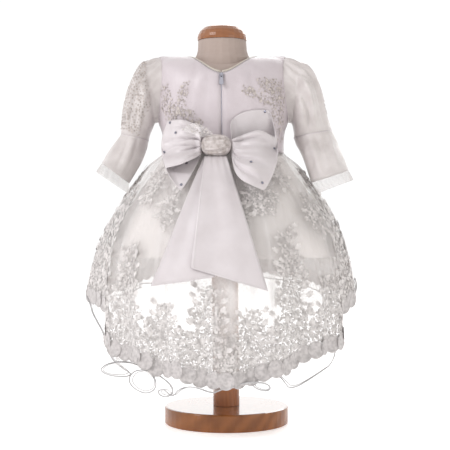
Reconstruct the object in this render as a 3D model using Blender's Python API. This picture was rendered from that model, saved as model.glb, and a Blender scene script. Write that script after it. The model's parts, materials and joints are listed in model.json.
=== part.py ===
from collections import namedtuple
import math

import bmesh
import bpy
from mathutils import Matrix, Vector

# A christening gown on its dress form. Metres, +Z up.
# The origin is the centre of the base's underside. The gown's back, with its zip and bow,
# faces -Y, and angles round the body start at the centre back and grow towards +X.

for old_object in list(bpy.data.objects):
    bpy.data.objects.remove(old_object, do_unlink=True)


def table(columns, rows):
    row_type = namedtuple("Row", columns)
    return [row_type(*row) for row in rows]


# Stand and dress form
BASE_RADIUS = 0.100
BASE_HEIGHT = 0.028
BASE_EDGE = 0.0025
POLE_RADIUS = 0.0213
CAP_BOTTOM = 0.6187
LEAN = 0.0115              # the whole form leans to -X by this much for each metre of height
FORM_BOTTOM = 0.315
FORM_EASE = 0.008          # the form is this much smaller than the bodice
FORM_DROP = 0.0014         # but the gown's shoulders rest on it, this far under their middle
FORM_HIPS = table("height scale", [(FORM_BOTTOM, 0.90), (FORM_BOTTOM + 0.006, 0.96), (0.370, 0.985)])
TOUCH = 0.0003             # gap between pieces that meet
SEAM = 0.0019              # gap between the middles of two walls that meet at an angle

CAP_PROFILE = table("radius height", [
    (0.0398, 0.6187), (0.0403, 0.6225), (0.0394, 0.6275), (0.0362, 0.6335),
    (0.0298, 0.6393), (0.0180, 0.6430)])
CAP_TOP = 0.644
FORM_STEPS = 12
FORM_COLUMNS = 24
NECK_PROFILE = table("height half_width half_depth", [
    (0.5500, 0.0500, 0.0440), (0.5780, 0.0490, 0.0425), (0.5880, 0.0465, 0.0410),
    (0.5950, 0.0420, 0.0385), (0.6030, 0.0398, 0.0370), (CAP_BOTTOM - TOUCH, 0.0388, 0.0365)])

# Cloth walls
SATIN = 0.0014
NET = 0.0011
BINDING_WALL = 0.0022

# Bodice, as a body section that closes over the shoulders
WAIST_HEIGHT = 0.437
CHEST_TOP = 0.530
SHOULDER_HEIGHT = 0.5915
SHOULDER_HALF_WIDTH = 0.1015
SECTION_POWER = 2.3
BODY_PROFILE = table("height half_width half_depth", [
    (WAIST_HEIGHT, 0.0965, 0.0710), (0.452, 0.0967, 0.0715), (0.470, 0.0985, 0.0722),
    (0.487, 0.1040, 0.0730), (0.510, 0.1050, 0.0732), (CHEST_TOP, 0.1045, 0.0730)])
ZIP_X = -0.002
ZIP_GAP = 0.0024
ZIP_TAPE_HALF_WIDTH = 0.006
ZIP_TAPE_INSET = 0.0007    # clear of the panels' flat stretches beside the zip
ZIP_TAPE_END = 0.0015      # the tape stops this far short of the waist and the binding
NOTCH_HEIGHT = 0.5625      # bottom of the neckline at the centre back
FRONT_NECK_HEIGHT = 0.556
NECK_HALF_WIDTH = 0.055
BACK_NECK_ROUND = 1.7      # a higher power makes a rounder neckline
FRONT_NECK_ROUND = 2.6
ARMPIT_HEIGHT = 0.487
ARMHOLE_SWEEP = 23.0       # degrees that the armhole reaches round the body from the side seam
BINDING_WIDTH = 0.0042

# Sleeves: each row is one ring, from its outer to its inner edge. The lower arms hang a
# little towards the back, clear of the skirt
SLEEVE_COLUMNS = "outer_x outer_z inner_x inner_z half_depth centre_y"
SLEEVES = {
    "right": {
        "upper": table(SLEEVE_COLUMNS, [
            (0.1225, 0.5845, 0.1112, 0.4852, 0.033, 0.0), (0.1385, 0.5785, 0.1128, 0.4812, 0.044, 0.0),
            (0.1515, 0.5590, 0.1140, 0.4760, 0.047, 0.0), (0.1610, 0.5330, 0.1147, 0.4710, 0.044, 0.0),
            (0.1670, 0.5035, 0.1150, 0.4665, 0.039, 0.0), (0.1755, 0.4735, 0.1150, 0.4615, 0.034, 0.0)]),
        "lower": table(SLEEVE_COLUMNS, [
            (0.1758, 0.4726, 0.1150, 0.4606, 0.034, 0.0), (0.1836, 0.4540, 0.1180, 0.4500, 0.034, -0.006),
            (0.1900, 0.4305, 0.1265, 0.4285, 0.033, -0.029),
            (0.1966, 0.4058, 0.1384, 0.3868, 0.033, -0.051)]),
        "frill": table(SLEEVE_COLUMNS, [
            (0.1968, 0.4053, 0.1386, 0.3862, 0.033, -0.0515), (0.1990, 0.3978, 0.1436, 0.3780, 0.034, -0.058),
            (0.2008, 0.3905, 0.1488, 0.3708, 0.035, -0.064)]),
    },
    "left": {
        "upper": table(SLEEVE_COLUMNS, [
            (-0.1200, 0.5855, -0.1112, 0.4850, 0.033, 0.0), (-0.1335, 0.5790, -0.1128, 0.4815, 0.043, 0.0),
            (-0.1455, 0.5586, -0.1145, 0.4770, 0.045, 0.0), (-0.1556, 0.5326, -0.1170, 0.4720, 0.041, 0.0),
            (-0.1625, 0.5002, -0.1195, 0.4655, 0.036, 0.0), (-0.1657, 0.4665, -0.1217, 0.4575, 0.030, 0.0)]),
        "lower": table(SLEEVE_COLUMNS, [
            (-0.1660, 0.4656, -0.1218, 0.4566, 0.030, 0.0), (-0.1765, 0.4515, -0.1242, 0.4430, 0.031, -0.006),
            (-0.1855, 0.4370, -0.1330, 0.4195, 0.032, -0.015),
            (-0.1938, 0.4190, -0.1512, 0.3868, 0.034, -0.030)]),
        "frill": table(SLEEVE_COLUMNS, [
            (-0.1940, 0.4185, -0.1513, 0.3862, 0.034, -0.0305),
            (-0.1970, 0.4108, -0.1518, 0.3778, 0.035, -0.042),
            (-0.1992, 0.4035, -0.1512, 0.3705, 0.036, -0.052)]),
    },
}
# creases run down a sleeve at this many degrees from its outer edge towards the back
SLEEVE_CREASES = table("sleeve part angle depth half_angle", [
    ("right", "upper", 62, -0.0035, 30), ("right", "upper", 118, 0.0030, 30),
    ("right", "lower", 75, -0.0030, 32), ("right", "lower", -70, -0.0030, 32),
    ("left", "upper", 80, -0.0035, 30), ("left", "upper", -65, -0.0030, 32),
    ("left", "lower", 60, -0.0035, 28), ("left", "lower", 105, 0.0030, 28)])
LOWER_CREASE_SHARES = (0.0, 1.0, 0.8, 0.0)
SLEEVE_COLUMNS_ROUND = 24
CAP_GATHERS = 8
CAP_GATHER_DEPTH = 0.0020
FRILL_COLUMNS_ROUND = 36
FRILL_WAVES = 9
FRILL_WAVE_DEPTH = 0.0022

# Skirt: the lace's own form, and the two layers under it
SKIRT_TOP = WAIST_HEIGHT - TOUCH - 0.0006
SKIRT_PROFILE = table("height half_width half_depth", [
    (SKIRT_TOP, 0.0980, 0.0728), (0.430, 0.1035, 0.0790), (0.416, 0.1210, 0.0980),
    (0.395, 0.1372, 0.1180), (0.370, 0.1545, 0.1370), (0.340, 0.1720, 0.1530),
    (0.300, 0.1880, 0.1700), (0.260, 0.1970, 0.1810), (0.220, 0.2020, 0.1900),
    (0.170, 0.2010, 0.1950), (0.120, 0.1990, 0.1970), (0.070, 0.1960, 0.1960)])
FOLD_TOP = 0.425
FOLD_FULL = 0.170
# depth is how far a fold's crest stands out, and less than nothing for a trough
LACE_FOLDS = table("angle depth half_angle", [
    (-176, 0.006, 10), (-160, -0.007, 10), (-143, 0.007, 10), (-126, -0.007, 10),
    (-97, 0.026, 20), (-72, -0.008, 9), (-60, 0.008, 8), (-49, -0.006, 7),
    (-39, 0.006, 7), (-29, -0.006, 7), (-19, 0.005, 6), (-9, -0.005, 6),
    (1, 0.005, 6), (11, -0.005, 6), (22, 0.006, 7), (33, -0.006, 7),
    (44, 0.006, 7), (56, 0.009, 9), (69, -0.009, 9), (82, 0.006, 9),
    (95, -0.006, 9), (109, 0.007, 9), (125, -0.007, 10), (143, 0.007, 10),
    (161, -0.007, 10)])
LACE_HEM = table("angle height", [
    (-180, 0.246), (-150, 0.238), (-120, 0.218), (-105, 0.207), (-90, 0.202), (-76, 0.190),
    (-66, 0.158), (-57, 0.128), (-50, 0.121), (-40, 0.121), (-31, 0.103), (-22, 0.104),
    (-12, 0.092), (0, 0.089), (10, 0.093), (19, 0.104), (27, 0.108), (36, 0.123),
    (47, 0.133), (58, 0.139), (66, 0.165), (75, 0.194), (90, 0.205), (105, 0.209),
    (120, 0.219), (150, 0.238), (180, 0.246)])
SCALLOPS = 60
SCALLOP_DROP = 0.0065
LACE_COLUMNS = 2 * SCALLOPS
LACE_ROWS = (0.0, 0.035, 0.10, 0.22, 0.42, 0.66, 0.86)
WAIST_GATHERS = 40
WAIST_GATHER_DEPTH = 0.0016

TULLE_COLUMNS = 72
TULLE_ROWS = (0.0, 0.06, 0.19, 0.43, 0.72, 1.0)
TULLE_HEM_ROWS = (0.45, 1.0)
TULLE_INSET_TOP = 0.0018
TULLE_INSET = 0.0078
TULLE_FOLD_SHARE = 0.5
TULLE_HEM = table("angle height", [
    (-180, 0.233), (-150, 0.225), (-120, 0.204), (-105, 0.192), (-88, 0.180), (-76, 0.150),
    (-64, 0.098), (-52, 0.078), (-38, 0.080), (-24, 0.082), (-12, 0.076), (0, 0.079),
    (12, 0.077), (26, 0.090), (36, 0.082), (50, 0.086), (62, 0.104), (74, 0.158),
    (88, 0.183), (105, 0.194), (120, 0.205), (150, 0.225), (180, 0.233)])
# where the tulle runs on below the lace its corded hem swings in and out
TULLE_FOLDS = table("angle depth half_angle", [
    (-172, 0.008, 12), (-148, -0.007, 12), (-124, 0.008, 12), (-100, -0.004, 12),
    (-80, 0.014, 11), (-52, 0.024, 14), (-32, -0.008, 9), (-17, 0.006, 8),
    (-4, -0.004, 7), (9, 0.005, 7), (22, -0.006, 8), (36, 0.010, 8),
    (54, 0.016, 11), (84, 0.018, 12), (106, -0.007, 11), (128, 0.009, 12),
    (152, -0.007, 12)])
TULLE_SWING_HEIGHT = 0.030

LINING_COLUMNS = 40
LINING_ROWS = (0.0, 0.05, 0.13, 0.32, 0.65, 1.0)
LINING_HEM = 0.273
LINING_INSET_TOP = 0.0036
LINING_INSET = 0.0135
LINING_FOLD_SHARE = 0.25
INSET_DROP = 0.022         # height below the waist over which the layers part

# Bow at the centre back
KNOT_CENTRE = (-0.011, -0.0955, 0.4425)
KNOT_HALF = (0.0235, 0.0165, 0.0165)
KNOT_POWER = 2.5
KNOT_PLEATS = 7
BOW_CLEAR = 0.0023         # from the cloth behind to the middle of the bow's nearest wall
BOW_END_CLEAR = 0.0010     # more of it away from the knot, where the body curves off
FLARE_DROP = 0.006         # the bow clears the skirt as it is this much lower down
WAIST_SPARE = 0.0012       # extra room behind the bow just above the waist seam
WAIST_SPARE_TOP = 0.465
BOW_BACK = 0.052           # the bow stands out straight where the body rounds away past this depth
CREST_ALLOWANCE = 0.0062   # the tallest fold of the skirt under the bow
LOOP_COLUMNS = ("share front_top_x front_top_z front_low_x front_low_z "
                "back_top_x back_top_z back_low_x back_low_z puff")
LOOPS = {
    "right": table(LOOP_COLUMNS, [
        (0.00, 0.0122, 0.4510, 0.0122, 0.4290, 0.0122, 0.4610, 0.0122, 0.4290, 0.0055),
        (0.14, 0.0210, 0.4550, 0.0160, 0.4030, 0.0120, 0.4790, 0.0180, 0.4120, 0.018),
        (0.36, 0.0360, 0.4610, 0.0250, 0.3880, 0.0240, 0.4920, 0.0320, 0.4020, 0.032),
        (0.68, 0.0580, 0.4660, 0.0400, 0.3790, 0.0450, 0.4990, 0.0520, 0.3980, 0.040),
        (1.00, 0.0800, 0.4570, 0.0580, 0.3715, 0.0700, 0.5010, 0.0720, 0.4000, 0.026)]),
    "left": table(LOOP_COLUMNS, [
        (0.00, -0.0343, 0.4600, -0.0343, 0.4290, -0.0343, 0.4610, -0.0343, 0.4290, 0.0055),
        (0.14, -0.0360, 0.4700, -0.0400, 0.4240, -0.0330, 0.4700, -0.0390, 0.4170, 0.018),
        (0.36, -0.0490, 0.4780, -0.0480, 0.4190, -0.0460, 0.4770, -0.0450, 0.4040, 0.032),
        (0.68, -0.0660, 0.4830, -0.0660, 0.4110, -0.0640, 0.4820, -0.0545, 0.3860, 0.038),
        (1.00, -0.0840, 0.4830, -0.0870, 0.4070, -0.0820, 0.4820, -0.0640, 0.3720, 0.024)]),
}
LOOP_END_BULGE = 0.010
LOOP_ROOT_Y = -0.0925
LOOP_SHARES = (0.0, 0.13, 0.30, 0.52, 0.76, 1.0)
LOOP_TURN_STEPS = 3
LOOP_TURN_REACH = 0.003
LOOP_HEIGHT_STEPS = 7
LOOP_WAVE = 0.0022
# corners of each tail, as seen from behind: top left, top right, low left, low right
TAILS = table("name corners clear ripple", [
    ("bow_tail_back",
     ((-0.0300, 0.4254), (-0.0060, 0.4254), (-0.1091, 0.2298), (-0.0143, 0.2444)), 0.0028, 0.0012),
    ("bow_tail_front",
     ((-0.0290, 0.4256), (0.0045, 0.4256), (-0.0504, 0.2577), (0.0623, 0.2243)), 0.0071, 0.0016)])
TAIL_STEPS_DOWN = 9
TAIL_STEPS_ACROSS = 6
KNOT_FRILL_ROOT = ((-0.0320, 0.4545), (-0.0160, 0.4589))
KNOT_FRILL_TIP = ((-0.0640, 0.4640), (-0.0200, 0.4765))
KNOT_FRILL_Y = (-0.1020, -0.1210)

# Zip slider and its pull tab, in the slider's own frame: across, out of the cloth, up
SLIDER_HEIGHT = 0.5530
SLIDER_PLATE = (0.0056, 0.0018, 0.0084)
ARCH_WIDTH = 0.0012
ARCH_HALF_LENGTH = 0.0036
ARCH_HOLE_HALF_LENGTH = 0.0026
ARCH_HOLE_HEIGHT = 0.0022
ARCH_BAR = 0.0009
TAB_WALL = 0.0010
TAB_AXIS_OUT = 0.0011      # from the plate to the tab's hinge line
TAB_PROFILE = table("down half_width", [
    (0.0044, 0.0024), (0.0080, 0.0027), (0.0115, 0.0032), (0.0148, 0.0035),
    (0.0170, 0.0030), (0.0184, 0.0016)])
TAB_TIP = 0.0190
TAB_EYE_HALF_WIDTH = 0.0026
TAB_WINDOW_HALF_WIDTH = 0.0015
TAB_WINDOW_LOW = 0.0046


def make_material(name, colour, roughness, metallic=0.0):
    material = bpy.data.materials.new(name)
    material.use_nodes = True
    shader = material.node_tree.nodes["Principled BSDF"]
    shader.inputs["Base Color"].default_value = (*colour, 1.0)
    shader.inputs["Roughness"].default_value = roughness
    shader.inputs["Metallic"].default_value = metallic
    return material


def smooth_step(value):
    value = min(1.0, max(0.0, value))
    return value * value * (3.0 - 2.0 * value)


def mix(first, second, share):
    return first + (second - first) * share


def read_table(rows, key, column, at):
    keys = [getattr(row, key) for row in rows]
    values = [getattr(row, column) for row in rows]
    if keys[0] > keys[-1]:
        keys.reverse()
        values.reverse()
    at = min(keys[-1], max(keys[0], at))
    index = max(i for i in range(len(keys) - 1) if at >= keys[i])

    def slope(i):
        low = max(0, i - 1)
        high = min(len(keys) - 1, i + 1)
        return (values[high] - values[low]) / (keys[high] - keys[low])

    span = keys[index + 1] - keys[index]
    t = (at - keys[index]) / span
    start = values[index] * (1 + 2 * t) * (1 - t) ** 2 + slope(index) * span * t * (1 - t) ** 2
    end = values[index + 1] * t * t * (3 - 2 * t) + slope(index + 1) * span * t * t * (t - 1)
    return start + end


def lean(point):
    x, y, z = point
    return (x - LEAN * max(0.0, z - BASE_HEIGHT), y, z)


def link_mesh(name, points, faces, material, sharp_angle=40):
    mesh = bpy.data.meshes.new(name)
    mesh.from_pydata([lean(point) for point in points], [], faces)
    mesh.validate()
    mesh.shade_smooth()
    mesh.set_sharp_from_angle(angle=math.radians(sharp_angle))
    mesh.materials.append(material)
    built = bpy.data.objects.new(name, mesh)
    bpy.context.scene.collection.objects.link(built)
    return built


def grid_faces(row_count, column_count, closed):
    faces = []
    spans = column_count if closed else column_count - 1
    for row in range(row_count - 1):
        for column in range(spans):
            after = (column + 1) % column_count
            low = row * column_count
            high = low + column_count
            faces.append((low + column, low + after, high + after, high + column))
    return faces


def add_wall(built, thickness):
    wall = built.modifiers.new("cloth wall", "SOLIDIFY")
    wall.thickness = thickness
    wall.offset = 0.0
    return built


def cloth_grid(name, rows, closed, thickness, material):
    points = [point for row in rows for point in row]
    faces = grid_faces(len(rows), len(rows[0]), closed)
    return add_wall(link_mesh(name, points, faces, material), thickness)


def closed_loft(name, rings, material, sharp_angle=40):
    points = [point for ring in rings for point in ring]
    count = len(rings[0])
    faces = grid_faces(len(rings), count, True)
    faces.append(tuple(reversed(range(count))))
    last = (len(rings) - 1) * count
    faces.append(tuple(range(last, last + count)))
    return link_mesh(name, points, faces, material, sharp_angle)


def round_ring(half_width, half_depth, height, count):
    ring = []
    for step in range(count):
        angle = math.tau * step / count
        ring.append((half_width * math.cos(angle), half_depth * math.sin(angle), height))
    return ring


def join_solids(name, first, second):
    join = first.modifiers.new("join", "BOOLEAN")
    join.operation = "UNION"
    join.object = second
    second.hide_render = True
    second.display_type = "WIRE"
    first.name = name


# Body section: level 0 is the waist, level 0.5 the chest's top, level 1 the shoulder seam
def body_size(level, ease=0.0, drop=0.0):
    if level < 0.5:
        height = mix(WAIST_HEIGHT, CHEST_TOP, level / 0.5)
        half_width = read_table(BODY_PROFILE, "height", "half_width", height)
        half_depth = read_table(BODY_PROFILE, "height", "half_depth", height)
        return height, half_width - ease, half_depth - ease
    turn = math.radians(90.0 * (level - 0.5) / 0.5)
    chest = BODY_PROFILE[-1]
    height = CHEST_TOP + (SHOULDER_HEIGHT - drop - CHEST_TOP) * math.sin(turn)
    half_width = mix(chest.half_width, SHOULDER_HALF_WIDTH, math.sin(turn)) - ease
    return height, half_width, (chest.half_depth - ease) * math.cos(turn)


def body_level(height):
    if height < CHEST_TOP:
        return 0.5 * (height - WAIST_HEIGHT) / (CHEST_TOP - WAIST_HEIGHT)
    rise = (height - CHEST_TOP) / (SHOULDER_HEIGHT - CHEST_TOP)
    return 0.5 + 0.5 * math.degrees(math.asin(min(1.0, rise))) / 90.0


def section_share(value):
    return math.copysign(abs(value) ** (2.0 / SECTION_POWER), value)


def body_point(angle, level, out=0.0):
    height, half_width, half_depth = body_size(level)
    turn = math.radians(angle)
    point = Vector((half_width * section_share(math.sin(turn)),
                    -half_depth * section_share(math.cos(turn)), height))
    if out == 0.0:
        return point
    return point + body_normal(angle, level) * out


def body_normal(angle, level):
    step = 0.5
    low = max(0.0, level - 0.01)
    high = min(0.99, level + 0.01)
    across = body_point(angle + step, level) - body_point(angle - step, level)
    upward = body_point(angle, high) - body_point(angle, low)
    return across.cross(upward).normalized()


def body_angle(x, level):
    half_width = body_size(level)[1]
    share = min(1.0, abs(x) / half_width) ** (SECTION_POWER / 2.0)
    return math.copysign(math.degrees(math.asin(share)), x)


def back_depth(x, height, clear):
    # how far towards -Y the gown's back reaches, with its tallest folds and this much to spare
    if height >= WAIST_HEIGHT + FLARE_DROP:
        _, half_width, half_depth = body_size(body_level(height), -clear)
        half_depth += WAIST_SPARE * smooth_step((WAIST_SPARE_TOP - height) / 0.015)
        share = min(1.0, abs(x) / half_width)
        return half_depth * (1.0 - share ** SECTION_POWER) ** (1.0 / SECTION_POWER)
    half_width = read_table(SKIRT_PROFILE, "height", "half_width", height - FLARE_DROP) + clear
    half_depth = read_table(SKIRT_PROFILE, "height", "half_depth", height - FLARE_DROP) + clear
    share = min(1.0, abs(x) / half_width)
    crest = CREST_ALLOWANCE * smooth_step((WAIST_HEIGHT - height) / 0.03)
    return half_depth * math.sqrt(1.0 - share * share) + crest


# Bodice panels run from an inner edge, at the centre, to an outer edge, at side and armhole
PANEL_SIDE_ROWS = 4
PANEL_ARM_ROWS = 9
PANEL_COLUMNS = 6
NECK_LEVEL = 0.985         # the shoulder seam, just short of the ridge
SHOULDER_GAP = 0.0009
NECK_ROWS = 6


def armhole_edge(share):
    # share 0 is the armpit and 1 the shoulder tip, as degrees from the side seam and a level
    turn = math.pi * (1.0 - share)
    low = body_level(ARMPIT_HEIGHT)
    middle = (low + NECK_LEVEL) / 2.0
    reach = (NECK_LEVEL - low) / 2.0
    return ARMHOLE_SWEEP * math.sin(turn), middle + reach * math.cos(turn)


def outer_edge():
    edge = []
    armpit = body_level(ARMPIT_HEIGHT)
    for row in range(PANEL_SIDE_ROWS):
        edge.append((90.0, armpit * row / PANEL_SIDE_ROWS))
    for row in range(PANEL_ARM_ROWS + 1):
        sweep, level = armhole_edge(row / PANEL_ARM_ROWS)
        edge.append((90.0 - sweep, level))
    return edge


def neckline(step, low_height, start_x, inset, front=False):
    # step 0 is the centre and NECK_ROWS the shoulder seam, with finer steps near the seam
    share = math.sin(math.pi / 2.0 * step / NECK_ROWS)
    low = body_level(low_height - inset)
    level = low + (NECK_LEVEL - low) * share ** (FRONT_NECK_ROUND if front else BACK_NECK_ROUND)
    reach = NECK_HALF_WIDTH + inset
    x = mix(start_x, reach, share)
    return body_angle(x, level), level


def inner_edge(start_x, low_height, front=False):
    rows = PANEL_SIDE_ROWS + PANEL_ARM_ROWS
    centre_rows = rows - NECK_ROWS
    edge = []
    top = body_level(low_height - BINDING_WIDTH)
    for row in range(rows + 1):
        if row < centre_rows:
            level = top * row / centre_rows
            edge.append((body_angle(start_x, level), level))
        else:
            edge.append(neckline(row - centre_rows, low_height, start_x, BINDING_WIDTH, front))
    return edge, centre_rows


def panel_rows(start_x, low_height, side, front):
    inner, centre_rows = inner_edge(start_x, low_height, front)
    outer = outer_edge()
    seam = math.degrees(TOUCH * 0.5 / SHOULDER_HALF_WIDTH)
    rows = []
    for (inner_angle, inner_level), (outer_angle, outer_level) in zip(inner, outer):
        row = []
        for column in range(PANEL_COLUMNS + 1):
            share = column / PANEL_COLUMNS
            angle = mix(inner_angle, outer_angle - seam, share)
            level = mix(inner_level, outer_level, share)
            point = body_point(angle, level)
            point.y = min(point.y, -SHOULDER_GAP * smooth_step((level - 0.8) / 0.15))
            point.x *= side
            if front:
                point.y = -point.y
            row.append(tuple(point))
        rows.append(row)
    return rows, centre_rows


def build_back_panels(satin):
    for name, side in (("bodice_back_left", -1), ("bodice_back_right", 1)):
        start_x = ZIP_GAP / 2.0 + ZIP_X * side
        rows, _ = panel_rows(start_x, NOTCH_HEIGHT, side, False)
        cloth_grid(name, rows, False, SATIN, satin)


def build_front_panel(satin):
    left, centre_rows = panel_rows(0.0, FRONT_NECK_HEIGHT, -1, True)
    right, _ = panel_rows(0.0, FRONT_NECK_HEIGHT, 1, True)
    points = [point for row in left for point in row]
    faces = grid_faces(len(left), PANEL_COLUMNS + 1, False)
    offset = len(points)
    points += [point for row in right for point in row]
    for face in grid_faces(len(right), PANEL_COLUMNS + 1, False):
        faces.append(tuple(reversed([offset + index for index in face])))
    mesh = bpy.data.meshes.new("bodice_front")
    mesh.from_pydata([lean(point) for point in points], [], faces)
    joined = bmesh.new()
    joined.from_mesh(mesh)
    bmesh.ops.remove_doubles(joined, verts=joined.verts, dist=0.00005)
    joined.to_mesh(mesh)
    joined.free()
    mesh.shade_smooth()
    mesh.materials.append(satin)
    built = bpy.data.objects.new("bodice_front", mesh)
    bpy.context.scene.collection.objects.link(built)
    add_wall(built, SATIN)


def build_neck_binding(satin):
    # a strip on the neck's edge, from one side of the zip round the front to the other
    path = []
    for side, front in ((-1, False), (-1, True), (1, True), (1, False)):
        start_x = 0.0 if front else ZIP_GAP / 2.0 + ZIP_X * side
        low_height = FRONT_NECK_HEIGHT if front else NOTCH_HEIGHT
        stretch = []
        for step in range(NECK_ROWS + 1):
            pair = []
            for inset in (BINDING_WIDTH - 0.0010, 0.0):
                angle, level = neckline(step, low_height, start_x, inset, front)
                point = body_point(angle, level)
                y = -point.y if front else point.y
                pair.append((point.x * side, y, point.z))
            stretch.append(pair)
        if side * (-1 if front else 1) > 0:
            stretch.reverse()
        if path:
            stretch = stretch[1:]
        path += stretch
    rows = [[pair[0] for pair in path], [pair[1] for pair in path]]
    rows.insert(1, [tuple((Vector(a) + Vector(b)) / 2) for a, b in zip(*rows)])
    cloth_grid("neck_binding", rows, False, BINDING_WALL, satin)


def ellipse_ring(row, count):
    outer = Vector((row.outer_x, 0.0, row.outer_z))
    inner = Vector((row.inner_x, 0.0, row.inner_z))
    centre = (outer + inner) / 2.0
    centre.y = row.centre_y
    half = (outer - inner) / 2.0
    ring = []
    for step in range(count):
        angle = math.tau * step / count
        depth = Vector((0.0, -row.half_depth * math.sin(angle), 0.0))
        ring.append(centre + half * math.cos(angle) + depth)
    return ring


def armhole_ring(side, count):
    # the armhole's own edge, moved out along the body by one seam's gap
    ring = []
    for step in range(count):
        angle = math.tau * step / count
        share = 1.0 - angle / math.pi if angle <= math.pi else angle / math.pi - 1.0
        sweep, level = armhole_edge(share)
        point = body_point(90.0 - sweep, level)
        if angle > math.pi:
            point.y = -point.y
        height_share = (point.z - ARMPIT_HEIGHT) / (SHOULDER_HEIGHT - ARMPIT_HEIGHT)
        point.x += SEAM
        point.z += SEAM * (0.5 - height_share) * 0.6
        point.x *= side
        ring.append(point)
    return ring


def gathered(ring, waves, depth, weight, creases=(), crease_share=0.0):
    centre = sum(ring, Vector()) / len(ring)
    shaped = []
    for step, point in enumerate(ring):
        angle = math.tau * step / len(ring)
        swing = depth * math.cos(waves * angle) * weight(angle)
        swing += fold_depth(creases, math.degrees(angle)) * crease_share
        shaped.append(tuple(point + (point - centre).normalized() * swing))
    return shaped


def all_round(angle):
    return 1.0


def outer_half(angle):
    return smooth_step(0.5 + math.cos(angle))


def build_sleeve(side_name, side, satin, net):
    rings = SLEEVES[side_name]
    count = SLEEVE_COLUMNS_ROUND
    creases = [row for row in SLEEVE_CREASES if row.sleeve == side_name]
    upper_creases = [row for row in creases if row.part == "upper"]
    lower_creases = [row for row in creases if row.part == "lower"]
    upper = [[tuple(point) for point in armhole_ring(side, count)]]
    for index, row in enumerate(rings["upper"]):
        fade = max(0.0, 1.0 - index / 3.0)
        crease_share = math.sin(math.pi * index / (len(rings["upper"]) - 1))
        upper.append(gathered(ellipse_ring(row, count), CAP_GATHERS, CAP_GATHER_DEPTH * fade,
                              outer_half, upper_creases, crease_share))
    cloth_grid("upper_sleeve_" + side_name, upper, True, SATIN, satin)
    lower = []
    for crease_share, row in zip(LOWER_CREASE_SHARES, rings["lower"]):
        lower.append(gathered(ellipse_ring(row, count), 0, 0.0, all_round,
                              lower_creases, crease_share))
    cloth_grid("lower_sleeve_" + side_name, lower, True, SATIN, satin)
    frill = []
    for index, row in enumerate(rings["frill"]):
        grow = index / (len(rings["frill"]) - 1)
        frill.append(gathered(ellipse_ring(row, FRILL_COLUMNS_ROUND), FRILL_WAVES,
                              FRILL_WAVE_DEPTH * grow, all_round))
    cloth_grid("cuff_frill_" + side_name, frill, True, NET, net)


def turn_between(first, second):
    return (first - second + 180.0) % 360.0 - 180.0


def fold_depth(folds, angle):
    total = 0.0
    for fold in folds:
        away = abs(turn_between(angle, fold.angle)) / fold.half_angle
        if away < 1.0:
            total += fold.depth * math.cos(math.pi / 2.0 * away) ** 2
    return total


def skirt_point(angle, height, inset, fold_share=1.0, swing=0.0, gather=0.0):
    half_width = read_table(SKIRT_PROFILE, "height", "half_width", height)
    half_depth = read_table(SKIRT_PROFILE, "height", "half_depth", height)
    rise = smooth_step((FOLD_TOP - height) / (FOLD_TOP - FOLD_FULL))
    step = 0.002
    flare = (read_table(SKIRT_PROFILE, "height", "half_depth", height - step)
             - read_table(SKIRT_PROFILE, "height", "half_depth", height + step)) / (2.0 * step)
    length = math.hypot(1.0, flare)
    out = fold_depth(LACE_FOLDS, angle) * rise * fold_share + swing + gather - inset / length
    turn = math.radians(angle)
    return ((half_width + out) * math.sin(turn), -(half_depth + out) * math.cos(turn),
            height - inset * flare / length)


def layer_inset(height, at_waist, below):
    return mix(at_waist, below, smooth_step((SKIRT_TOP - height) / INSET_DROP))


def gather_depth(angle, height):
    fade = smooth_step((height - 0.33) / 0.07) * smooth_step((SKIRT_TOP - height) / 0.008)
    return WAIST_GATHER_DEPTH * math.cos(math.radians(angle) * WAIST_GATHERS) * fade


def build_lace(lace):
    columns = [360.0 * index / LACE_COLUMNS - 180.0 for index in range(LACE_COLUMNS)]
    rows = []
    for share in LACE_ROWS:
        row = []
        for angle in columns:
            hem = read_table(LACE_HEM, "angle", "height", angle)
            height = mix(SKIRT_TOP, hem, share)
            row.append(skirt_point(angle, height, 0.0, gather=gather_depth(angle, height)))
        rows.append(row)
    points = [point for row in rows for point in row]
    faces = grid_faces(len(rows), LACE_COLUMNS, True)
    last = (len(rows) - 1) * LACE_COLUMNS
    hem_start = len(points)
    hem_count = 2 * LACE_COLUMNS
    for index in range(hem_count):
        angle = 360.0 * index / hem_count - 180.0
        lobe = abs(math.sin(math.pi * index * SCALLOPS / hem_count)) ** 0.7
        height = read_table(LACE_HEM, "angle", "height", angle) - SCALLOP_DROP * lobe
        points.append(skirt_point(angle, height, 0.0))
    for index in range(LACE_COLUMNS):
        above = last + index
        above_next = last + (index + 1) % LACE_COLUMNS
        first = hem_start + 2 * index
        after = hem_start + (2 * index + 2) % hem_count
        faces.append((above, above_next, first + 1, first))
        faces.append((above_next, after, first + 1))
    add_wall(link_mesh("skirt_lace", points, faces, lace), NET)


def tulle_ring(angle):
    # down to the lace's hem just inside the lace, and then out to the tulle's own hem
    lace_hem = read_table(LACE_HEM, "angle", "height", angle) - SCALLOP_DROP
    hem = read_table(TULLE_HEM, "angle", "height", angle)
    swing = fold_depth(TULLE_FOLDS, angle) * smooth_step((lace_hem - hem) / TULLE_SWING_HEIGHT)
    line = []
    for share in TULLE_ROWS:
        height = mix(SKIRT_TOP, lace_hem, share)
        inset = layer_inset(height, TULLE_INSET_TOP, TULLE_INSET)
        line.append(skirt_point(angle, height, inset, TULLE_FOLD_SHARE))
    for share in TULLE_HEM_ROWS:
        height = mix(lace_hem, hem, share)
        line.append(skirt_point(angle, height, TULLE_INSET, TULLE_FOLD_SHARE, swing * share))
    return line


def build_tulle(tulle):
    lines = [tulle_ring(360.0 * index / TULLE_COLUMNS - 180.0) for index in range(TULLE_COLUMNS)]
    rows = [list(row) for row in zip(*lines)]
    cloth_grid("skirt_tulle", rows, True, NET, tulle)


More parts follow.
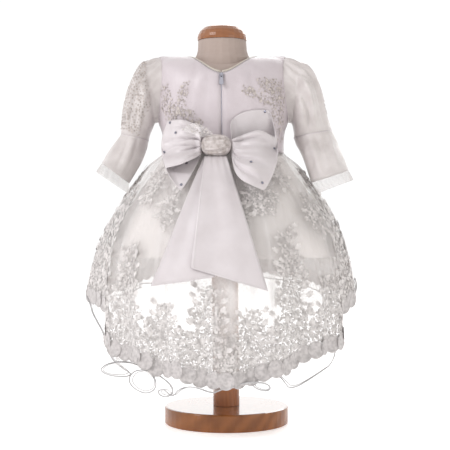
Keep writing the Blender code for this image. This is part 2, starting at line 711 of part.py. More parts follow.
def build_lining(satin):
    rows = []
    for share in LINING_ROWS:
        height = mix(SKIRT_TOP, LINING_HEM, share)
        inset = layer_inset(height, LINING_INSET_TOP, LINING_INSET)
        row = []
        for index in range(LINING_COLUMNS):
            angle = 360.0 * index / LINING_COLUMNS - 180.0
            row.append(skirt_point(angle, height, inset, LINING_FOLD_SHARE))
        rows.append(row)
    cloth_grid("skirt_lining", rows, True, NET, satin)


def loop_wall(rows, share, height_share, layer):
    top_x = read_table(rows, "share", layer + "_top_x", share)
    top_z = read_table(rows, "share", layer + "_top_z", share)
    low_x = read_table(rows, "share", layer + "_low_x", share)
    low_z = read_table(rows, "share", layer + "_low_z", share)
    side = math.copysign(1.0, rows[-1].front_top_x)
    bulge = LOOP_END_BULGE * share ** 3 * math.sin(math.pi * height_share)
    x = mix(low_x, top_x, height_share) + side * bulge
    z = mix(low_z, top_z, height_share)
    wave = LOOP_WAVE * math.sin(share * math.pi) * math.cos(height_share * math.tau * 1.5)
    clear = BOW_CLEAR + BOW_END_CLEAR * smooth_step(share / 0.30)
    y = -max(BOW_BACK, back_depth(x, z, clear))
    y = min(y, mix(LOOP_ROOT_Y, y, smooth_step(share / 0.30)))
    if layer == "front":
        crown = 1.0 - 0.28 * (1.0 - math.sin(math.pi * height_share)) * smooth_step(share / 0.3)
        y -= read_table(rows, "share", "puff", share) * crown + wave
    return Vector((x, y, z))


def build_loop(side_name, satin):
    rows = LOOPS[side_name]
    columns = []
    for step in range(LOOP_HEIGHT_STEPS + 1):
        height_share = step / LOOP_HEIGHT_STEPS
        path = [loop_wall(rows, share, height_share, "front") for share in LOOP_SHARES]
        back = [loop_wall(rows, share, height_share, "back") for share in LOOP_SHARES]
        back.reverse()
        for turn_step in range(1, LOOP_TURN_STEPS):
            part = turn_step / LOOP_TURN_STEPS
            point = path[len(LOOP_SHARES) - 1].lerp(back[0], part)
            point.x += math.copysign(LOOP_TURN_REACH * math.sin(math.pi * part), point.x)
            path.append(point)
        path += back
        columns.append([tuple(point) for point in path])
    cloth_grid("bow_loop_" + side_name, columns, False, SATIN, satin)


def build_knot(satin):
    rings = []
    ring_count = 9
    around = 21
    for step in range(1, ring_count):
        tilt = math.pi * step / ring_count
        along = -math.cos(tilt)
        reach = math.sin(tilt) ** (2.0 / KNOT_POWER)
        ring = []
        for index in range(around):
            angle = math.tau * index / around
            pleat = 1.0 + 0.045 * math.cos(KNOT_PLEATS * angle) * math.sin(tilt)
            y = reach * math.copysign(abs(math.cos(angle)) ** 0.8, math.cos(angle)) / 1.045
            z = reach * math.copysign(abs(math.sin(angle)) ** 0.8, math.sin(angle)) / 1.045
            spread = math.copysign(abs(along) ** 0.8, along)
            ring.append((KNOT_CENTRE[0] + KNOT_HALF[0] * spread,
                         KNOT_CENTRE[1] + KNOT_HALF[1] * y * pleat,
                         KNOT_CENTRE[2] + KNOT_HALF[2] * z * pleat))
        rings.append(ring)
    closed_loft("bow_knot", rings, satin, sharp_angle=60)


def build_tails(satin):
    for tail in TAILS:
        top_left, top_right, low_left, low_right = tail.corners
        rows = []
        for down in range(TAIL_STEPS_DOWN + 1):
            share = down / TAIL_STEPS_DOWN
            row = []
            for across in range(TAIL_STEPS_ACROSS + 1):
                part = across / TAIL_STEPS_ACROSS
                top = Vector(top_left).lerp(Vector(top_right), part)
                low = Vector(low_left).lerp(Vector(low_right), part)
                x, z = top.lerp(low, share)
                ripple = tail.ripple * math.cos(part * math.tau * 1.5) * smooth_step(share * 3.0)
                y = -(back_depth(x, z, tail.clear) + ripple)
                row.append((x, y, z))
            rows.append(row)
        cloth_grid(tail.name, rows, False, SATIN, satin)


def build_knot_frill(net):
    rows = []
    for down in range(4):
        share = down / 3
        row = []
        for across in range(13):
            part = across / 12
            root_x = mix(KNOT_FRILL_ROOT[0][0], KNOT_FRILL_ROOT[1][0], part)
            root_z = mix(KNOT_FRILL_ROOT[0][1], KNOT_FRILL_ROOT[1][1], part)
            tip_x = mix(KNOT_FRILL_TIP[0][0], KNOT_FRILL_TIP[1][0], part)
            tip_z = mix(KNOT_FRILL_TIP[0][1], KNOT_FRILL_TIP[1][1], part)
            tip_z += 0.006 * math.sin(math.pi * part)
            wave = 0.0022 * share * math.cos(part * math.tau * 3.0)
            row.append((mix(root_x, tip_x, share), mix(KNOT_FRILL_Y[0], KNOT_FRILL_Y[1], share) + wave,
                        mix(root_z, tip_z, share)))
        rows.append(row)
    cloth_grid("bow_knot_frill", rows, False, NET, net)


def build_zip_tape(tape):
    # its rows are the panels' own rows, so that it follows them just inside
    out = -(SATIN / 2.0 + TOUCH + NET / 2.0 + ZIP_TAPE_INSET)
    edge, centre_rows = inner_edge(0.0, NOTCH_HEIGHT)
    rows = []
    for _, level in edge[:centre_rows + 1]:
        row = []
        for x in (ZIP_X - ZIP_TAPE_HALF_WIDTH, ZIP_X, ZIP_X + ZIP_TAPE_HALF_WIDTH):
            row.append(tuple(body_point(body_angle(x, level), level, out)))
        rows.append(row)
    rows[0] = [(x, y, z + ZIP_TAPE_END) for x, y, z in rows[0]]
    rows[-1] = [(x, y - ZIP_TAPE_END * 0.5, z - ZIP_TAPE_END) for x, y, z in rows[-1]]
    cloth_grid("zip_tape", rows, False, NET, tape)


def slider_frame():
    level = body_level(SLIDER_HEIGHT)
    place = Vector(lean(body_point(0.0, level)))
    place.x += ZIP_X
    normal = body_normal(0.01, level)
    normal.x = 0.0
    normal.normalize()
    across = Vector((1.0, 0.0, 0.0))
    upward = across.cross(-normal).normalized()
    if upward.z < 0.0:
        upward = -upward
    frame = Matrix((across, normal, upward)).transposed().to_4x4()
    frame.translation = place
    return frame


def box_mesh(name, centre, size, frame, material):
    mesh = bpy.data.meshes.new(name)
    shape = bmesh.new()
    bmesh.ops.create_cube(shape, size=1.0)
    bmesh.ops.scale(shape, vec=Vector(size), verts=shape.verts)
    bmesh.ops.translate(shape, vec=Vector(centre), verts=shape.verts)
    bmesh.ops.transform(shape, matrix=frame, verts=shape.verts)
    bmesh.ops.recalc_face_normals(shape, faces=shape.faces)
    shape.to_mesh(mesh)
    shape.free()
    mesh.materials.append(material)
    built = bpy.data.objects.new(name, mesh)
    bpy.context.scene.collection.objects.link(built)
    return built


def plate_with_outline(name, outline, low_out, high_out, frame, material):
    # outline is in the slider's across and up directions
    count = len(outline)
    points = [frame @ Vector((x, low_out, z)) for x, z in outline]
    points += [frame @ Vector((x, high_out, z)) for x, z in outline]
    faces = [tuple(range(count)), tuple(reversed(range(count, 2 * count)))]
    for index in range(count):
        after = (index + 1) % count
        faces.append((index, count + index, count + after, after))
    mesh = bpy.data.meshes.new(name)
    mesh.from_pydata(points, [], faces)
    shape = bmesh.new()
    shape.from_mesh(mesh)
    bmesh.ops.recalc_face_normals(shape, faces=shape.faces)
    shape.to_mesh(mesh)
    shape.free()
    mesh.materials.append(material)
    built = bpy.data.objects.new(name, mesh)
    bpy.context.scene.collection.objects.link(built)
    return built


def cut_from(target, cutter):
    cut = target.modifiers.new("cut", "BOOLEAN")
    cut.operation = "DIFFERENCE"
    cut.object = cutter
    cutter.hide_render = True
    cutter.display_type = "WIRE"


def build_slider(frame, metal):
    base = SATIN / 2.0 + TOUCH
    top = base + SLIDER_PLATE[1]
    plate = box_mesh("zip_slider", (0.0, (base + top) / 2.0, 0.0), SLIDER_PLATE, frame, metal)
    arch_top = top + ARCH_HOLE_HEIGHT + ARCH_BAR
    sink = 0.0006
    arch_size = (ARCH_WIDTH, arch_top - top + sink, 2.0 * ARCH_HALF_LENGTH)
    arch = box_mesh("slider_arch", (0.0, (arch_top + top - sink) / 2.0, 0.0), arch_size, frame, metal)
    hole_size = (4.0 * ARCH_WIDTH, ARCH_HOLE_HEIGHT, 2.0 * ARCH_HOLE_HALF_LENGTH)
    hole = box_mesh("slider_hole", (0.0, top + ARCH_HOLE_HEIGHT / 2.0, 0.0), hole_size, frame, metal)
    join_solids("zip_slider", plate, arch)
    cut_from(plate, hole)
    return top + TAB_AXIS_OUT


def build_pull(frame, axis_out, metal):
    side = [(TAB_EYE_HALF_WIDTH, TAB_WALL / 2.0), (TAB_EYE_HALF_WIDTH, -0.0036)]
    side += [(row.half_width, -row.down) for row in TAB_PROFILE]
    outline = side + [(0.0, -TAB_TIP)] + [(-x, z) for x, z in reversed(side)]
    low = axis_out - TAB_WALL / 2.0
    high = axis_out + TAB_WALL / 2.0
    tab = plate_with_outline("zip_pull", outline, low, high, frame, metal)
    window_top = -TAB_WALL / 2.0
    window_middle = (window_top - TAB_WINDOW_LOW) / 2.0
    window_size = (2.0 * TAB_WINDOW_HALF_WIDTH, 4.0 * TAB_WALL, TAB_WINDOW_LOW + window_top)
    window = box_mesh("pull_window", (0.0, axis_out, window_middle), window_size, frame, metal)
    cut_from(tab, window)
    # the hinge line passes through the tab's own origin
    hinge = frame @ Vector((0.0, axis_out, 0.0))
    tab.data.transform(Matrix.Translation(-hinge))
    tab.location = hinge
    print("pull hinge", [round(value, 6) for value in hinge])


def build_stand(wood):
    shape = bmesh.new()
    bmesh.ops.create_cone(shape, cap_ends=True, segments=48, radius1=BASE_RADIUS,
                          radius2=BASE_RADIUS, depth=BASE_HEIGHT)
    bmesh.ops.translate(shape, vec=Vector((0.0, 0.0, BASE_HEIGHT / 2.0)), verts=shape.verts)
    mesh = bpy.data.meshes.new("stand_base")
    shape.to_mesh(mesh)
    shape.free()
    mesh.materials.append(wood)
    base = bpy.data.objects.new("stand_base", mesh)
    bpy.context.scene.collection.objects.link(base)
    edge = base.modifiers.new("rounded edge", "BEVEL")
    edge.width = BASE_EDGE
    edge.segments = 2
    edge.limit_method = "ANGLE"
    edge.angle_limit = math.radians(60)
    mesh.shade_smooth()
    mesh.set_sharp_from_angle(angle=math.radians(35))
    pole = [round_ring(POLE_RADIUS, POLE_RADIUS, BASE_HEIGHT + TOUCH, 32),
            round_ring(POLE_RADIUS, POLE_RADIUS, FORM_BOTTOM - TOUCH, 32)]
    closed_loft("stand_pole", pole, wood)


def build_form(jersey, wood):
    count = FORM_COLUMNS
    rings = []
    hips = body_size(0.0, FORM_EASE)
    for row in FORM_HIPS:
        rings.append((row.height, hips[1] * row.scale, hips[2] * row.scale))
    for step in range(1, FORM_STEPS + 1):
        rings.append(body_size(NECK_LEVEL * step / FORM_STEPS, FORM_EASE, FORM_DROP))
    loft = []
    for height, half_width, half_depth in rings:
        ring = []
        for index in range(count):
            turn = math.tau * index / count
            ring.append((half_width * section_share(math.sin(turn)),
                         -half_depth * section_share(math.cos(turn)), height))
        loft.append(ring)
    torso = closed_loft("form_torso", loft, jersey, sharp_angle=60)
    neck_rings = [round_ring(row.half_width, row.half_depth, row.height, count) for row in NECK_PROFILE]
    neck = closed_loft("form_neck", neck_rings, jersey, sharp_angle=60)
    join_solids("form_torso", torso, neck)
    cap_rings = [round_ring(row.radius, row.radius * 0.95, row.height, count) for row in CAP_PROFILE]
    points = [point for ring in cap_rings for point in ring] + [(0.0, 0.0, CAP_TOP)]
    faces = grid_faces(len(cap_rings), count, True)
    faces.append(tuple(reversed(range(count))))
    last = (len(cap_rings) - 1) * count
    for index in range(count):
        faces.append((last + index, last + (index + 1) % count, len(points) - 1))
    link_mesh("neck_cap", points, faces, wood)


def build_all():
    satin = make_material("satin", (0.80, 0.76, 0.74), 0.45)
    bow_satin = make_material("bow_satin", (0.82, 0.80, 0.81), 0.38)
    net = make_material("net", (0.88, 0.87, 0.86), 0.60)
    lace = make_material("lace", (0.80, 0.79, 0.78), 0.65)
    tape = make_material("zip_tape", (0.62, 0.60, 0.66), 0.70)
    metal = make_material("zip_metal", (0.60, 0.60, 0.62), 0.30, 1.0)
    jersey = make_material("jersey", (0.62, 0.55, 0.48), 0.85)
    wood = make_material("wood", (0.33, 0.12, 0.045), 0.30)
    build_stand(wood)
    build_form(jersey, wood)
    build_back_panels(satin)
    build_front_panel(satin)
    build_neck_binding(satin)
    for side_name, side in (("left", -1), ("right", 1)):
        build_sleeve(side_name, side, satin, net)
    build_lining(satin)
    build_tulle(net)
    build_lace(lace)
    for side_name in ("left", "right"):
        build_loop(side_name, bow_satin)
    build_knot(bow_satin)
    build_tails(bow_satin)
    build_knot_frill(net)
    build_zip_tape(tape)
    frame = slider_frame()
    axis_out = build_slider(frame, metal)
    build_pull(frame, axis_out, metal)


build_all()
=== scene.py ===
import json
import math
import random

import bpy
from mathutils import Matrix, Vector

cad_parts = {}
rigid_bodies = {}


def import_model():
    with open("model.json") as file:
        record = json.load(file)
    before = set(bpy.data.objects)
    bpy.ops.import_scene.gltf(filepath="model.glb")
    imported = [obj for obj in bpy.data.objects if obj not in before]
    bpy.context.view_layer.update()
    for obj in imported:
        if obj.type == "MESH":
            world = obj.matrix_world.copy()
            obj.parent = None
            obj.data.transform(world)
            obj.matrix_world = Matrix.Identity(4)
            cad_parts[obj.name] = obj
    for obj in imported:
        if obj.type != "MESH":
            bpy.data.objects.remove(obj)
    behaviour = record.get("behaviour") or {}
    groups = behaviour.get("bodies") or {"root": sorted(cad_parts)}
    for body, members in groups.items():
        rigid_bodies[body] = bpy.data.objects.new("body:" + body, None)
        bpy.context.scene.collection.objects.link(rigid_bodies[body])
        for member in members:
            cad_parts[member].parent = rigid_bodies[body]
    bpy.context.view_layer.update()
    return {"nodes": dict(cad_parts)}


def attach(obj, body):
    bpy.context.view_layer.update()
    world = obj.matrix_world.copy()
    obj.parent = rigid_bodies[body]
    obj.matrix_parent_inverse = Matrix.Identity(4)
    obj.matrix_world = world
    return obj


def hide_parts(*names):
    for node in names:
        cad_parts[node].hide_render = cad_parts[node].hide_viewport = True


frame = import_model()
mainBody = "gown_and_form"


def linkObject(name, data):
    made = bpy.data.objects.new(name, data)
    bpy.context.scene.collection.objects.link(made)
    return made


def newMesh(name, points, faces=(), edges=()):
    mesh = bpy.data.meshes.new(name)
    mesh.from_pydata([tuple(point) for point in points], list(edges), list(faces))
    return mesh


# the camera stands behind the gown, level, at the height of the skirt's middle
cameraSetup = {"place": (-0.0023, -1.826, 0.32), "lens": 90.0, "sensor": 36.0}

view = bpy.data.cameras.new("camera")
view.lens = cameraSetup["lens"]
view.sensor_width = cameraSetup["sensor"]
view.dof.use_dof = False
viewer = linkObject("camera", view)
viewer.location = cameraSetup["place"]
viewer.rotation_euler = (math.radians(90), 0.0, 0.0)
bpy.context.scene.camera = viewer
print("camera placed")


# small maths that every piece uses
def smoothStep(value):
    value = min(1.0, max(0.0, value))
    return value * value * (3.0 - 2.0 * value)


def mix(first, second, share):
    return first + (second - first) * share


def bump(away):
    return math.cos(math.pi / 2.0 * away) ** 2 if abs(away) < 1.0 else 0.0


def readTable(rows, column, at):
    # rows are sorted by their first value; the curve through them is smooth
    at = min(rows[-1][0], max(rows[0][0], at))
    index = 0
    while index < len(rows) - 2 and at >= rows[index + 1][0]:
        index += 1

    def slope(i):
        low, high = rows[max(0, i - 1)], rows[min(len(rows) - 1, i + 1)]
        return (high[column] - low[column]) / (high[0] - low[0])

    span = rows[index + 1][0] - rows[index][0]
    t = (at - rows[index][0]) / span
    start = rows[index][column] * (1 + 2 * t) * (1 - t) ** 2 + slope(index) * span * t * (1 - t) ** 2
    end = rows[index + 1][column] * t * t * (3 - 2 * t) + slope(index + 1) * span * t * t * (t - 1)
    return start + end


def turnBetween(first, second):
    return (first - second + 180.0) % 360.0 - 180.0


def foldDepth(folds, angle):
    return sum(depth * bump(turnBetween(angle, middle) / half) for middle, depth, half in folds)


def frameOn(surface, u, v, stepU, stepV):
    # point, outward normal and two directions on a surface function of two values
    across = (surface(u + stepU, v) - surface(u - stepU, v)).normalized()
    upward = (surface(u, v + stepV) - surface(u, v - stepV)).normalized()
    return surface(u, v), across.cross(upward).normalized(), across, upward


def headingAt(across, upward, turn):
    return across * math.cos(turn) + upward * math.sin(turn)


def ringAngles(count):
    return [360.0 * index / count for index in range(count)]


def roundAngles(count):
    return [angle - 180.0 for angle in ringAngles(count)]


def neighbours(count):
    return [(index, (index + 1) % count) for index in range(count)]


# the whole object leans a little to the left, from the top of the base up
lean = {"slope": 0.0115, "from": 0.028}


def leaned(point):
    return Vector((point[0] - lean["slope"] * max(0.0, point[2] - lean["from"]), point[1], point[2]))


# gown sizes, the same as the solids'
body = {
    "waist": 0.437, "chestTop": 0.530, "shoulder": 0.5915, "shoulderHalf": 0.1015, "power": 2.3,
    "profile": [(0.437, 0.0965, 0.0710), (0.452, 0.0967, 0.0715), (0.470, 0.0985, 0.0722),
                (0.487, 0.1040, 0.0730), (0.510, 0.1050, 0.0732), (0.530, 0.1045, 0.0730)],
    "zipX": -0.002, "zipGap": 0.0024, "notch": 0.5625, "frontNeck": 0.556, "neckHalf": 0.055,
    "backRound": 1.7, "frontRound": 2.6, "armpit": 0.487, "armSweep": 23.0, "binding": 0.0042,
    "neckLevel": 0.985, "sideShare": 4.0 / 13.0, "centreShare": 7.0 / 13.0, "shoulderGap": 0.0009}


def bodySize(level, ease=0.0):
    chest = body["profile"][-1]
    if level < 0.5:
        height = mix(body["waist"], body["chestTop"], level / 0.5)
        return (height, readTable(body["profile"], 1, height) - ease,
                readTable(body["profile"], 2, height) - ease)
    turn = math.radians(180.0 * (level - 0.5))
    height = mix(body["chestTop"], body["shoulder"], math.sin(turn))
    return (height, mix(chest[1], body["shoulderHalf"], math.sin(turn)) - ease,
            (chest[2] - ease) * math.cos(turn))


def bodyLevel(height):
    if height < body["chestTop"]:
        return 0.5 * (height - body["waist"]) / (body["chestTop"] - body["waist"])
    rise = (height - body["chestTop"]) / (body["shoulder"] - body["chestTop"])
    return 0.5 + math.degrees(math.asin(min(1.0, rise))) / 180.0


def sectionShare(value):
    return math.copysign(abs(value) ** (2.0 / body["power"]), value)


def bodyPoint(angle, level, out=0.0):
    height, halfWidth, halfDepth = bodySize(level)
    turn = math.radians(angle)
    point = Vector((halfWidth * sectionShare(math.sin(turn)), -halfDepth * sectionShare(math.cos(turn)),
                    height))
    return point if out == 0.0 else point + bodyNormal(angle, level) * out


def bodyNormal(angle, level):
    across = bodyPoint(angle + 0.5, level) - bodyPoint(angle - 0.5, level)
    upward = bodyPoint(angle, min(0.99, level + 0.01)) - bodyPoint(angle, max(0.0, level - 0.01))
    return across.cross(upward).normalized()


def bodyAngle(x, level):
    share = min(1.0, abs(x) / bodySize(level)[1]) ** (body["power"] / 2.0)
    return math.copysign(math.degrees(math.asin(share)), x)


def armholeEdge(share):
    low = bodyLevel(body["armpit"])
    middle, reach = (low + body["neckLevel"]) / 2.0, (body["neckLevel"] - low) / 2.0
    turn = math.pi * (1.0 - share)
    return body["armSweep"] * math.sin(turn), middle + reach * math.cos(turn)


def outerEdge(share):
    if share < body["sideShare"]:
        return 90.0, bodyLevel(body["armpit"]) * share / body["sideShare"]
    sweep, level = armholeEdge((share - body["sideShare"]) / (1.0 - body["sideShare"]))
    return 90.0 - sweep, level


def neckline(share, lowHeight, startX, inset, front):
    low = bodyLevel(lowHeight - inset)
    share = math.sin(math.pi / 2.0 * share)
    level = low + (body["neckLevel"] - low) * share ** (body["frontRound"] if front else body["backRound"])
    return bodyAngle(mix(startX, body["neckHalf"] + inset, share), level), level


def innerEdge(share, startX, lowHeight, front):
    if share < body["centreShare"]:
        level = bodyLevel(lowHeight - body["binding"]) * share / body["centreShare"]
        return bodyAngle(startX, level), level
    share = (share - body["centreShare"]) / (1.0 - body["centreShare"])
    return neckline(share, lowHeight, startX, body["binding"], front)


# cloth made from rows of points, with a UV map in metres
def lengthsAlong(points):
    lengths = [0.0]
    for first, second in zip(points, points[1:]):
        lengths.append(lengths[-1] + (second - first).length)
    return lengths


def linkMesh(name, points, faces, finish, uvs=None):
    mesh = newMesh(name, points, faces)
    if uvs:
        layer = mesh.uv_layers.new(name="cloth")
        for item, uv in zip(layer.data, uvs):
            item.uv = uv
    mesh.shade_smooth()
    mesh.materials.append(finish)
    return linkObject(name, mesh)


def gridFaces(rowCount, count, closed):
    # every face with its row and column
    for row in range(rowCount - 1):
        low, high = row * count, (row + 1) * count
        for column in range(count if closed else count - 1):
            after = (column + 1) % count
            yield row, column, [low + column, low + after, high + after, high + column]


def clothSheet(name, rows, finish, closed=False, wall=0.0, flip=False):
    count = len(rows[0])
    middle = rows[len(rows) // 2]
    across = lengthsAlong(list(middle) + [middle[0]])
    down = lengthsAlong([row[count // 2] for row in rows])
    faces, uvs = [], []
    for row, column, face in gridFaces(len(rows), count, closed):
        corners = [(across[column], down[row]), (across[column + 1], down[row]),
                   (across[column + 1], down[row + 1]), (across[column], down[row + 1])]
        faces.append(face[::-1] if flip else face)
        uvs += corners[::-1] if flip else corners
    made = linkMesh(name, [point for row in rows for point in row], faces, finish, uvs)
    if wall:
        shell = made.modifiers.new("cloth wall", "SOLIDIFY")
        shell.thickness = wall
        shell.offset = 0.0
    return made


def carry(made):
    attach(made, mainBody)


def dressAs(made, node):
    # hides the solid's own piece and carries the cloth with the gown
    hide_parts(node)
    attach(made, mainBody)


# node trees: a value that is a socket is linked, and any other value is set
def setInputs(tree, node, values):
    for key, value in dict(values).items():
        if isinstance(value, bpy.types.NodeSocket):
            tree.links.new(value, node.inputs[key])
        else:
            node.inputs[key].default_value = value
    return node


def addNode(tree, kind, settings=(), values=()):
    node = tree.nodes.new(kind)
    for key, value in dict(settings).items():
        setattr(node, key, value)
    return setInputs(tree, node, values)


socketKinds = {"value": "NodeSocketFloat", "count": "NodeSocketInt", "colour": "NodeSocketColor",
               "vector": "NodeSocketVector", "geometry": "NodeSocketGeometry", "finish": "NodeSocketMaterial",
               "collection": "NodeSocketCollection"}


def newTree(name, kind, inputs, outputs):
    # inputs: label, kind and default value, which may be None; outputs: label and kind
    tree = bpy.data.node_groups.new(name, kind)
    for label, word, value in inputs:
        socket = tree.interface.new_socket(name=label, in_out="INPUT", socket_type=socketKinds[word])
        if value is not None:
            socket.default_value = value
    for label, word in outputs:
        tree.interface.new_socket(name=label, in_out="OUTPUT", socket_type=socketKinds[word])
    return tree, tree.nodes.new("NodeGroupInput").outputs


def mathNode(tree, operation, *values):
    return addNode(tree, "ShaderNodeMath", {"operation": operation}, enumerate(values)).outputs[0]


def mapRange(tree, value, low=0.0, high=1.0, toLow=0.0, toHigh=1.0):
    return addNode(tree, "ShaderNodeMapRange", values={
        "Value": value, "From Min": low, "From Max": high, "To Min": toLow, "To Max": toHigh}).outputs[0]


def blendColour(tree, share, first, second):
    factorInput, firstInput, secondInput = 0, 6, 7
    first, second = ((*value, 1.0) if isinstance(value, tuple) else value for value in (first, second))
    node = addNode(tree, "ShaderNodeMix", {"data_type": "RGBA"},
                   {factorInput: share, firstInput: first, secondInput: second})
    return node.outputs[2]


def noiseNode(tree, place, scale, detail, **values):
    return addNode(tree, "ShaderNodeTexNoise", values={
        "Vector": place, "Scale": scale, "Detail": detail, **values}).outputs["Fac"]


def objectPlace(tree):
    return addNode(tree, "ShaderNodeTexCoord").outputs["Object"]


def clothPlace(tree):
    uv = addNode(tree, "ShaderNodeUVMap", {"uv_map": "cloth"})
    return addNode(tree, "ShaderNodeSeparateXYZ", values={0: uv.outputs[0]}).outputs


def namedValue(tree, label):
    return addNode(tree, "ShaderNodeAttribute", {"attribute_name": label}).outputs["Fac"]


# shader groups: each puts out colours, masks or values, and the shaders stay in the materials
def newGroup(name, inputs, outputs):
    return newTree(name, "ShaderNodeTree", inputs, outputs)


def endGroup(group, values):
    addNode(group, "NodeGroupOutput", values=values)
    return group


def makeWeaveGroup():
    # woven threads from the cloth's UV map; a slow noise lifts the cloth in soft creases and paints their
    # shade, darker where the noise is low
    group, inputs = newGroup(
        "wovenCloth",
        [("Thread size", "value", 0.0006), ("Shade", "colour", (0.8, 0.8, 0.8, 1)),
         ("Painted crease shade", "colour", (0.7, 0.7, 0.7, 1)), ("Rough low", "value", 0.35),
         ("Rough high", "value", 0.5), ("Crease size", "value", 28.0)],
        [("Color", "colour"), ("Roughness", "value"), ("Height", "value")])
    weaveShare = 0.05
    turns = mathNode(group, "DIVIDE", math.tau, inputs["Thread size"])
    warp, weft = (mathNode(group, "SINE", mathNode(group, "MULTIPLY", part, turns))
                  for part in clothPlace(group)[:2])
    weave = mathNode(group, "MULTIPLY", warp, weft)
    place = objectPlace(group)
    # the crease noise: it bumps the cloth, and its low places take the painted crease shade colour
    slow = noiseNode(group, place, inputs["Crease size"], 3.0, Roughness=0.55)
    fine = noiseNode(group, place, 900.0, 2.0)
    return endGroup(group, {
        "Color": blendColour(group, slow, inputs["Painted crease shade"], inputs["Shade"]),
        "Roughness": mapRange(group, fine, toLow=inputs["Rough low"], toHigh=inputs["Rough high"]),
        "Height": mathNode(group, "ADD", mathNode(group, "MULTIPLY", weave, weaveShare), slow)})


def makeNetGroup():
    # a fine net of crossing threads from the UV map; the mask is 1 on a thread
    group, inputs = newGroup(
        "fineNet",
        [("Cell size", "value", 0.0012), ("Open", "value", 0.1), ("Thread", "value", 0.6),
         ("Cloudiness", "value", 0.05)],
        [("Mask", "value"), ("Height", "value")])
    sharpness = 2.5
    parts = clothPlace(group)
    turns = mathNode(group, "DIVIDE", math.pi, inputs["Cell size"])
    lines = []
    for kind in ("ADD", "SUBTRACT"):
        slant = mathNode(group, "MULTIPLY", mathNode(group, kind, parts[0], parts[1]), turns)
        wave = mathNode(group, "ABSOLUTE", mathNode(group, "SINE", slant))
        lines.append(mathNode(group, "SUBTRACT", 1.0, wave))
    peak = mathNode(group, "POWER", mathNode(group, "MAXIMUM", *lines), sharpness)
    cloud = noiseNode(group, objectPlace(group), 30.0, 2.0)
    span = mathNode(group, "SUBTRACT", inputs["Thread"], inputs["Open"])
    mask = mathNode(group, "ADD", inputs["Open"], mathNode(group, "MULTIPLY", peak, span))
    drift = mathNode(group, "MULTIPLY", mathNode(group, "SUBTRACT", cloud, 0.5), inputs["Cloudiness"])
    mask = mathNode(group, "MAXIMUM", mathNode(group, "ADD", mask, drift), 0.0)
    return endGroup(group, {"Mask": mathNode(group, "MINIMUM", mask, 1.0), "Height": peak})


def makeLaceGroup():
    # small stitched blossoms that fill the embroidered places, switched on cell by cell; Shade falls toward
    # each blossom's rim as painted shade of the raised stitching, with a random tone per blossom, and also
    # bumps it
    group, inputs = newGroup("laceFill", [("Density", "value", 0.5), ("Blossom size", "value", 0.0026)],
                             [("Mask", "value"), ("Shade", "value")])
    cells = addNode(group, "ShaderNodeTexVoronoi", values={
        "Vector": objectPlace(group), "Scale": mathNode(group, "DIVIDE", 1.0, inputs["Blossom size"]),
        "Randomness": 0.85}).outputs
    picks = addNode(group, "ShaderNodeSeparateColor", values={0: cells["Color"]}).outputs
    chosen = mathNode(group, "LESS_THAN", picks[0], inputs["Density"])
    disc = mapRange(group, cells["Distance"], 0.64, 0.52)
    # painted shade: the blossom goes darker toward its rim
    rim = mapRange(group, cells["Distance"], 0.10, 0.52, 0.6, 0.0)
    return endGroup(group, {
        "Mask": mathNode(group, "MULTIPLY", chosen, disc),
        "Shade": mathNode(group, "ADD", rim, mathNode(group, "MULTIPLY", picks[1], 0.4))})


def makeWoodGroup():
    # long grain through the turned piece, with broad uneven bands
    group, inputs = newGroup(
        "turnedWood",
        [("Light wood", "colour", (0.5, 0.2, 0.08, 1)), ("Dark wood", "colour", (0.3, 0.1, 0.04, 1)),
         ("Stretch", "vector", (1.0, 1.0, 1.0)), ("Grain size", "value", 40.0)],
        [("Color", "colour"), ("Roughness", "value"), ("Height", "value")])
    grainShare, bandShare, roughSpan, roughLow = 0.72, 0.28, 0.12, 0.20
    place = addNode(group, "ShaderNodeVectorMath", {"operation": "MULTIPLY"},
                    {0: objectPlace(group), 1: inputs["Stretch"]}).outputs[0]
    grain = noiseNode(group, place, inputs["Grain size"], 5.0, Roughness=0.6, Distortion=0.6)
    bands = addNode(group, "ShaderNodeTexWave", {"wave_type": "BANDS", "bands_direction": "DIAGONAL"},
                    {"Vector": place, "Scale": 10.0, "Distortion": 7.0, "Detail": 3.0}).outputs["Fac"]
    share = mathNode(group, "ADD", mathNode(group, "MULTIPLY", grain, grainShare),
                     mathNode(group, "MULTIPLY", bands, bandShare))
    return endGroup(group, {
        "Color": blendColour(group, share, inputs["Dark wood"], inputs["Light wood"]),
        "Roughness": mathNode(group, "MULTIPLY_ADD", grain, roughSpan, roughLow), "Height": share})


groups = {"weave": makeWeaveGroup(), "net": makeNetGroup(), "lace": makeLaceGroup(), "wood": makeWoodGroup()}


def newMaterial(name):
    material = bpy.data.materials.new(name)
    material.use_nodes = True
    return material, material.node_tree


def endMaterial(material, values):
    tree = material.node_tree
    setInputs(tree, tree.nodes["Principled BSDF"], values)
    return material


def useGroup(tree, word, values=()):
    return addNode(tree, "ShaderNodeGroup", {"node_tree": groups[word]}, values).outputs


def bumpFrom(tree, height, strength, distance):
    return addNode(tree, "ShaderNodeBump", values={
        "Strength": strength, "Distance": distance, "Height": height}).outputs[0]


def clothMaterial(name, shade, deepShade, rough, threadSize, bumpDepth=0.0004, sheen=0.15, creaseSize=28.0):
    # deepShade is the painted shade in the cloth's soft creases
    material, tree = newMaterial(name)
    cloth = useGroup(tree, "weave", {
        "Thread size": threadSize, "Shade": (*shade, 1), "Painted crease shade": (*deepShade, 1),
        "Rough low": rough[0], "Rough high": rough[1], "Crease size": creaseSize})
    return endMaterial(material, {
        "Base Color": cloth["Color"], "Roughness": cloth["Roughness"], "Sheen Weight": sheen,
        "Sheen Roughness": 0.5, "Specular IOR Level": 0.45,
        "Normal": bumpFrom(tree, cloth["Height"], 0.6, bumpDepth)})


